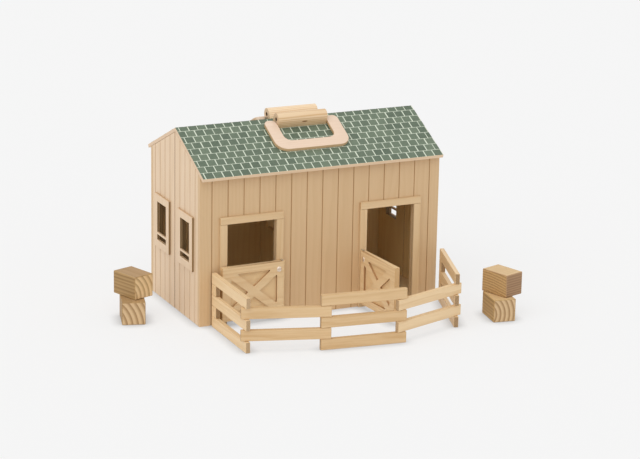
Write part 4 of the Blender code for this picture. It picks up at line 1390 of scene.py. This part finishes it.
@dataclass
class Fence:
    """The folding rail fence."""

    yaws: Tuple[float, ...] = tuple(math.radians(yaw) for yaw in (-90.65, -16.82, -6.39, 18.23, 72.53))
    three_rails: Tuple[str, ...] = ("bottom_rail", "middle_rail", "top_rail")
    two_rails: Tuple[str, ...] = ("lower_rail", "upper_rail")
    spacers: Tuple[str, ...] = ("lower_spacer", "upper_spacer")
    pale_panels: Tuple[int, ...] = (1, 4, 5)

    def dress(self, bench: Bench) -> None:
        """Dress every rail, spacer and pin.

        Args:
            bench: copies and places the pieces.
        """
        for number, yaw in enumerate(self.yaws, start=1):
            words = self.three_rails if number % 2 else self.two_rails
            if number in (1, len(self.yaws)):
                words += self.spacers
            along = Vector((math.cos(yaw), math.sin(yaw), 0))
            out = Vector((math.sin(yaw), -math.cos(yaw), 0))
            wood = FENCE_PALE if number in self.pale_panels else FENCE_PINE
            for word in words:
                dark_end = number == len(self.yaws) or word in self.spacers
                bench.board("fence_%d_%s" % (number, word), wood, board_frame(along, out),
                            others=[(FENCE_DARK_END if dark_end else FENCE_END, looks_along(along))])
        for number in range(1, len(self.yaws)):
            bench.metal("fence_pin_%d" % number, STEEL)


@dataclass(frozen=True)
class BaleCut:
    """One block: how it is turned, how it was sawn and its finishes, whose tones paint light on the level
    faces and shade on the sides.
    """

    node: str
    yaw: float
    grain_across: bool
    pith: Tuple[float, float, float]
    ring_pitch: float
    ends: Wood
    sides: Wood
    levels: Wood

    def grain(self) -> Vector:
        """Direction of the fibres."""
        yaw = self.yaw + (math.pi / 2 if self.grain_across else 0.0)
        return Vector((math.cos(yaw), math.sin(yaw), 0))


@dataclass
class Bales:
    """The four blocks that stand for bales."""

    # The side and level finishes paint shade on each block's sides and light on its top.
    cuts: Tuple[BaleCut, ...] = (
        BaleCut("left_lower_bale", math.radians(-16.1), True, (0, 0.042, -0.018), 0.0070,
                BALE_CUT, BALE_SIDE, BALE_LEVEL),
        BaleCut("left_upper_bale", math.radians(18.9), True, (0, 0.030, -0.0134), 0.0067,
                BALE_PALE_CUT, BALE_SIDE, BALE_LEVEL),
        BaleCut("right_lower_bale", math.radians(-8.6), True, (0, 0.028, -0.005), 0.0060,
                BALE_CUT, BALE_LIT_SIDE, BALE_LIT_LEVEL),
        BaleCut("right_upper_bale", math.radians(18.1), False, (0, 0.010, -0.150), 0.0036,
                BALE_FINE_CUT, BALE_SHADED_SIDE, BALE_LIT_LEVEL))

    def dress(self, bench: Bench) -> None:
        """Dress each block; on three of them the grain runs from front to back.

        Args:
            bench: copies and places the pieces.
        """
        up = Vector((0, 0, 1))
        for cut in self.cuts:
            grain = cut.grain()
            ends = replace(cut.ends, pith=cut.pith, ring_pitch=cut.ring_pitch)
            bench.board(cut.node, cut.sides, board_frame(grain, up),
                        others=[(ends, looks_along(grain)), (cut.levels, looks_along(up))])


@dataclass
class Studio:
    """The camera, the lamp, the pale floor and the light of the room."""

    camera_place: Tuple[float, float, float] = (-1.30330, -2.83029, 1.00939)
    camera_right: Tuple[float, float, float] = (0.90574, -0.42346, 0.01784)
    camera_up: Tuple[float, float, float] = (0.10449, 0.26389, 0.95887)
    camera_forward: Tuple[float, float, float] = (0.41075, 0.86663, -0.28326)
    sensor_width: float = 36.0
    lens: float = 137.76
    farthest: float = 100.0
    key_from: Tuple[float, float, float] = (-0.45, -0.35, 0.82)
    key_strength: float = 1.0
    key_spread: float = math.radians(70)
    room_light: float = 0.80
    floor_glow: float = 0.7
    floor_size: float = 24.0
    floor_dark: Colour = srgb(243, 243, 243)
    floor_pale: Colour = srgb(247, 247, 247)
    floor_roughness: float = 0.9
    cloud_pitch: float = 0.5
    cloud_strength: float = 0.02
    contact_reach: float = 0.016
    contact_depth: float = 0.8
    background: Colour = srgb(246, 246, 246)

    def camera(self) -> None:
        """Set the camera at the photograph's viewing angle."""
        data = bpy.data.cameras.new("photo_camera")
        data.sensor_width = self.sensor_width
        data.sensor_fit = "HORIZONTAL"
        data.lens = self.lens
        data.clip_end = self.farthest
        camera = placed("photo_camera", data)
        turn = Matrix((self.camera_right, self.camera_up,
                       tuple(-Vector(self.camera_forward)))).transposed()
        camera.matrix_world = Matrix.Translation(self.camera_place) @ turn.to_4x4()
        bpy.context.scene.camera = camera

    def lamp(self) -> None:
        """Hang one large soft lamp at the upper left."""
        data = bpy.data.lights.new("key_lamp", "SUN")
        data.energy = self.key_strength
        data.angle = self.key_spread
        lamp = placed("key_lamp", data)
        lamp.rotation_euler = Vector(self.key_from).to_track_quat("Z", "Y").to_euler()

    @staticmethod
    def seen(wires: Wiring, rays: bpy.types.NodeOutputs) -> bpy.types.NodeSocket:
        """One for rays from the camera, and for those a shiny or clear face sends on."""
        seen = wires.math("MAXIMUM", rays["Is Camera Ray"], rays["Is Transmission Ray"])
        return wires.math("MAXIMUM", seen, rays["Is Glossy Ray"])

    def room(self) -> None:
        """Light the room evenly, with the pale background where it is seen."""
        world = bpy.data.worlds.new("studio")
        bpy.context.scene.world = world
        world.use_nodes = True
        wires = Wiring(world.node_tree)
        shader = world.node_tree.nodes["Background"]
        seen = self.seen(wires, wires.add("ShaderNodeLightPath").outputs)
        shader.inputs["Color"].default_value = (*self.background, 1)
        wires.feed(shader.inputs["Strength"],
                   wires.math("MULTIPLY_ADD", seen, 1.0 - self.room_light, self.room_light))

    def floor(self) -> None:
        """Lay a plain pale floor that keeps the object's shadow, deepest where it is touched."""
        shape = bmesh.new()
        bmesh.ops.create_grid(shape, x_segments=2, y_segments=2, size=self.floor_size / 2)
        floor = placed("studio_floor", mesh_of(shape, "studio_floor"))
        material, wires, shader = new_material("studio_floor")
        place = wires.add("ShaderNodeTexCoord").outputs["Object"]
        clouds = EFFECTS.mottle.place(wires, {"Place": place, "Pitch": self.cloud_pitch,
                                              "Strength": self.cloud_strength})["Amount"]
        share = wires.math("ADD", clouds, 0.5, clamp=True)
        wires.feed(shader.inputs["Base Color"],
                   wires.blend(share, (*self.floor_dark, 1), (*self.floor_pale, 1)))
        shader.inputs["Roughness"].default_value = self.floor_roughness
        shader.inputs["Specular IOR Level"].default_value = 0.0
        near = wires.add("ShaderNodeAmbientOcclusion", {"Distance": self.contact_reach}).outputs["AO"]
        open_share = wires.math("MULTIPLY_ADD", near, self.contact_depth, 1.0 - self.contact_depth)
        glow = wires.add("ShaderNodeEmission", {"Color": (*self.background, 1), "Strength": open_share})
        seen = self.seen(wires, wires.add("ShaderNodeLightPath").outputs)
        both = wires.add("ShaderNodeMixShader", {
            0: wires.math("MULTIPLY", seen, self.floor_glow), 1: shader.outputs[0],
            2: glow.outputs[0]})
        wires.feed(material.node_tree.nodes["Material Output"].inputs["Surface"], both.outputs[0])
        floor.data.materials.append(material)

    def build(self) -> None:
        """Set up the whole studio."""
        self.camera()
        self.lamp()
        self.room()
        self.floor()
        bpy.context.scene.view_settings.view_transform = "Standard"


def main() -> None:
    """Dress every sub-assembly in order."""
    logging.basicConfig(level=logging.INFO, format="%(name)s: %(message)s")
    Studio().build()
    bench = Bench()
    for assembly in (Shell(), StallFronts(), Roof(), EndHinge(), Fence(), Bales()):
        assembly.dress(bench)
        LOG.info("%s dressed, %d pieces so far", type(assembly).__name__, len(bench.made))


if __name__ == "__main__":
    main()
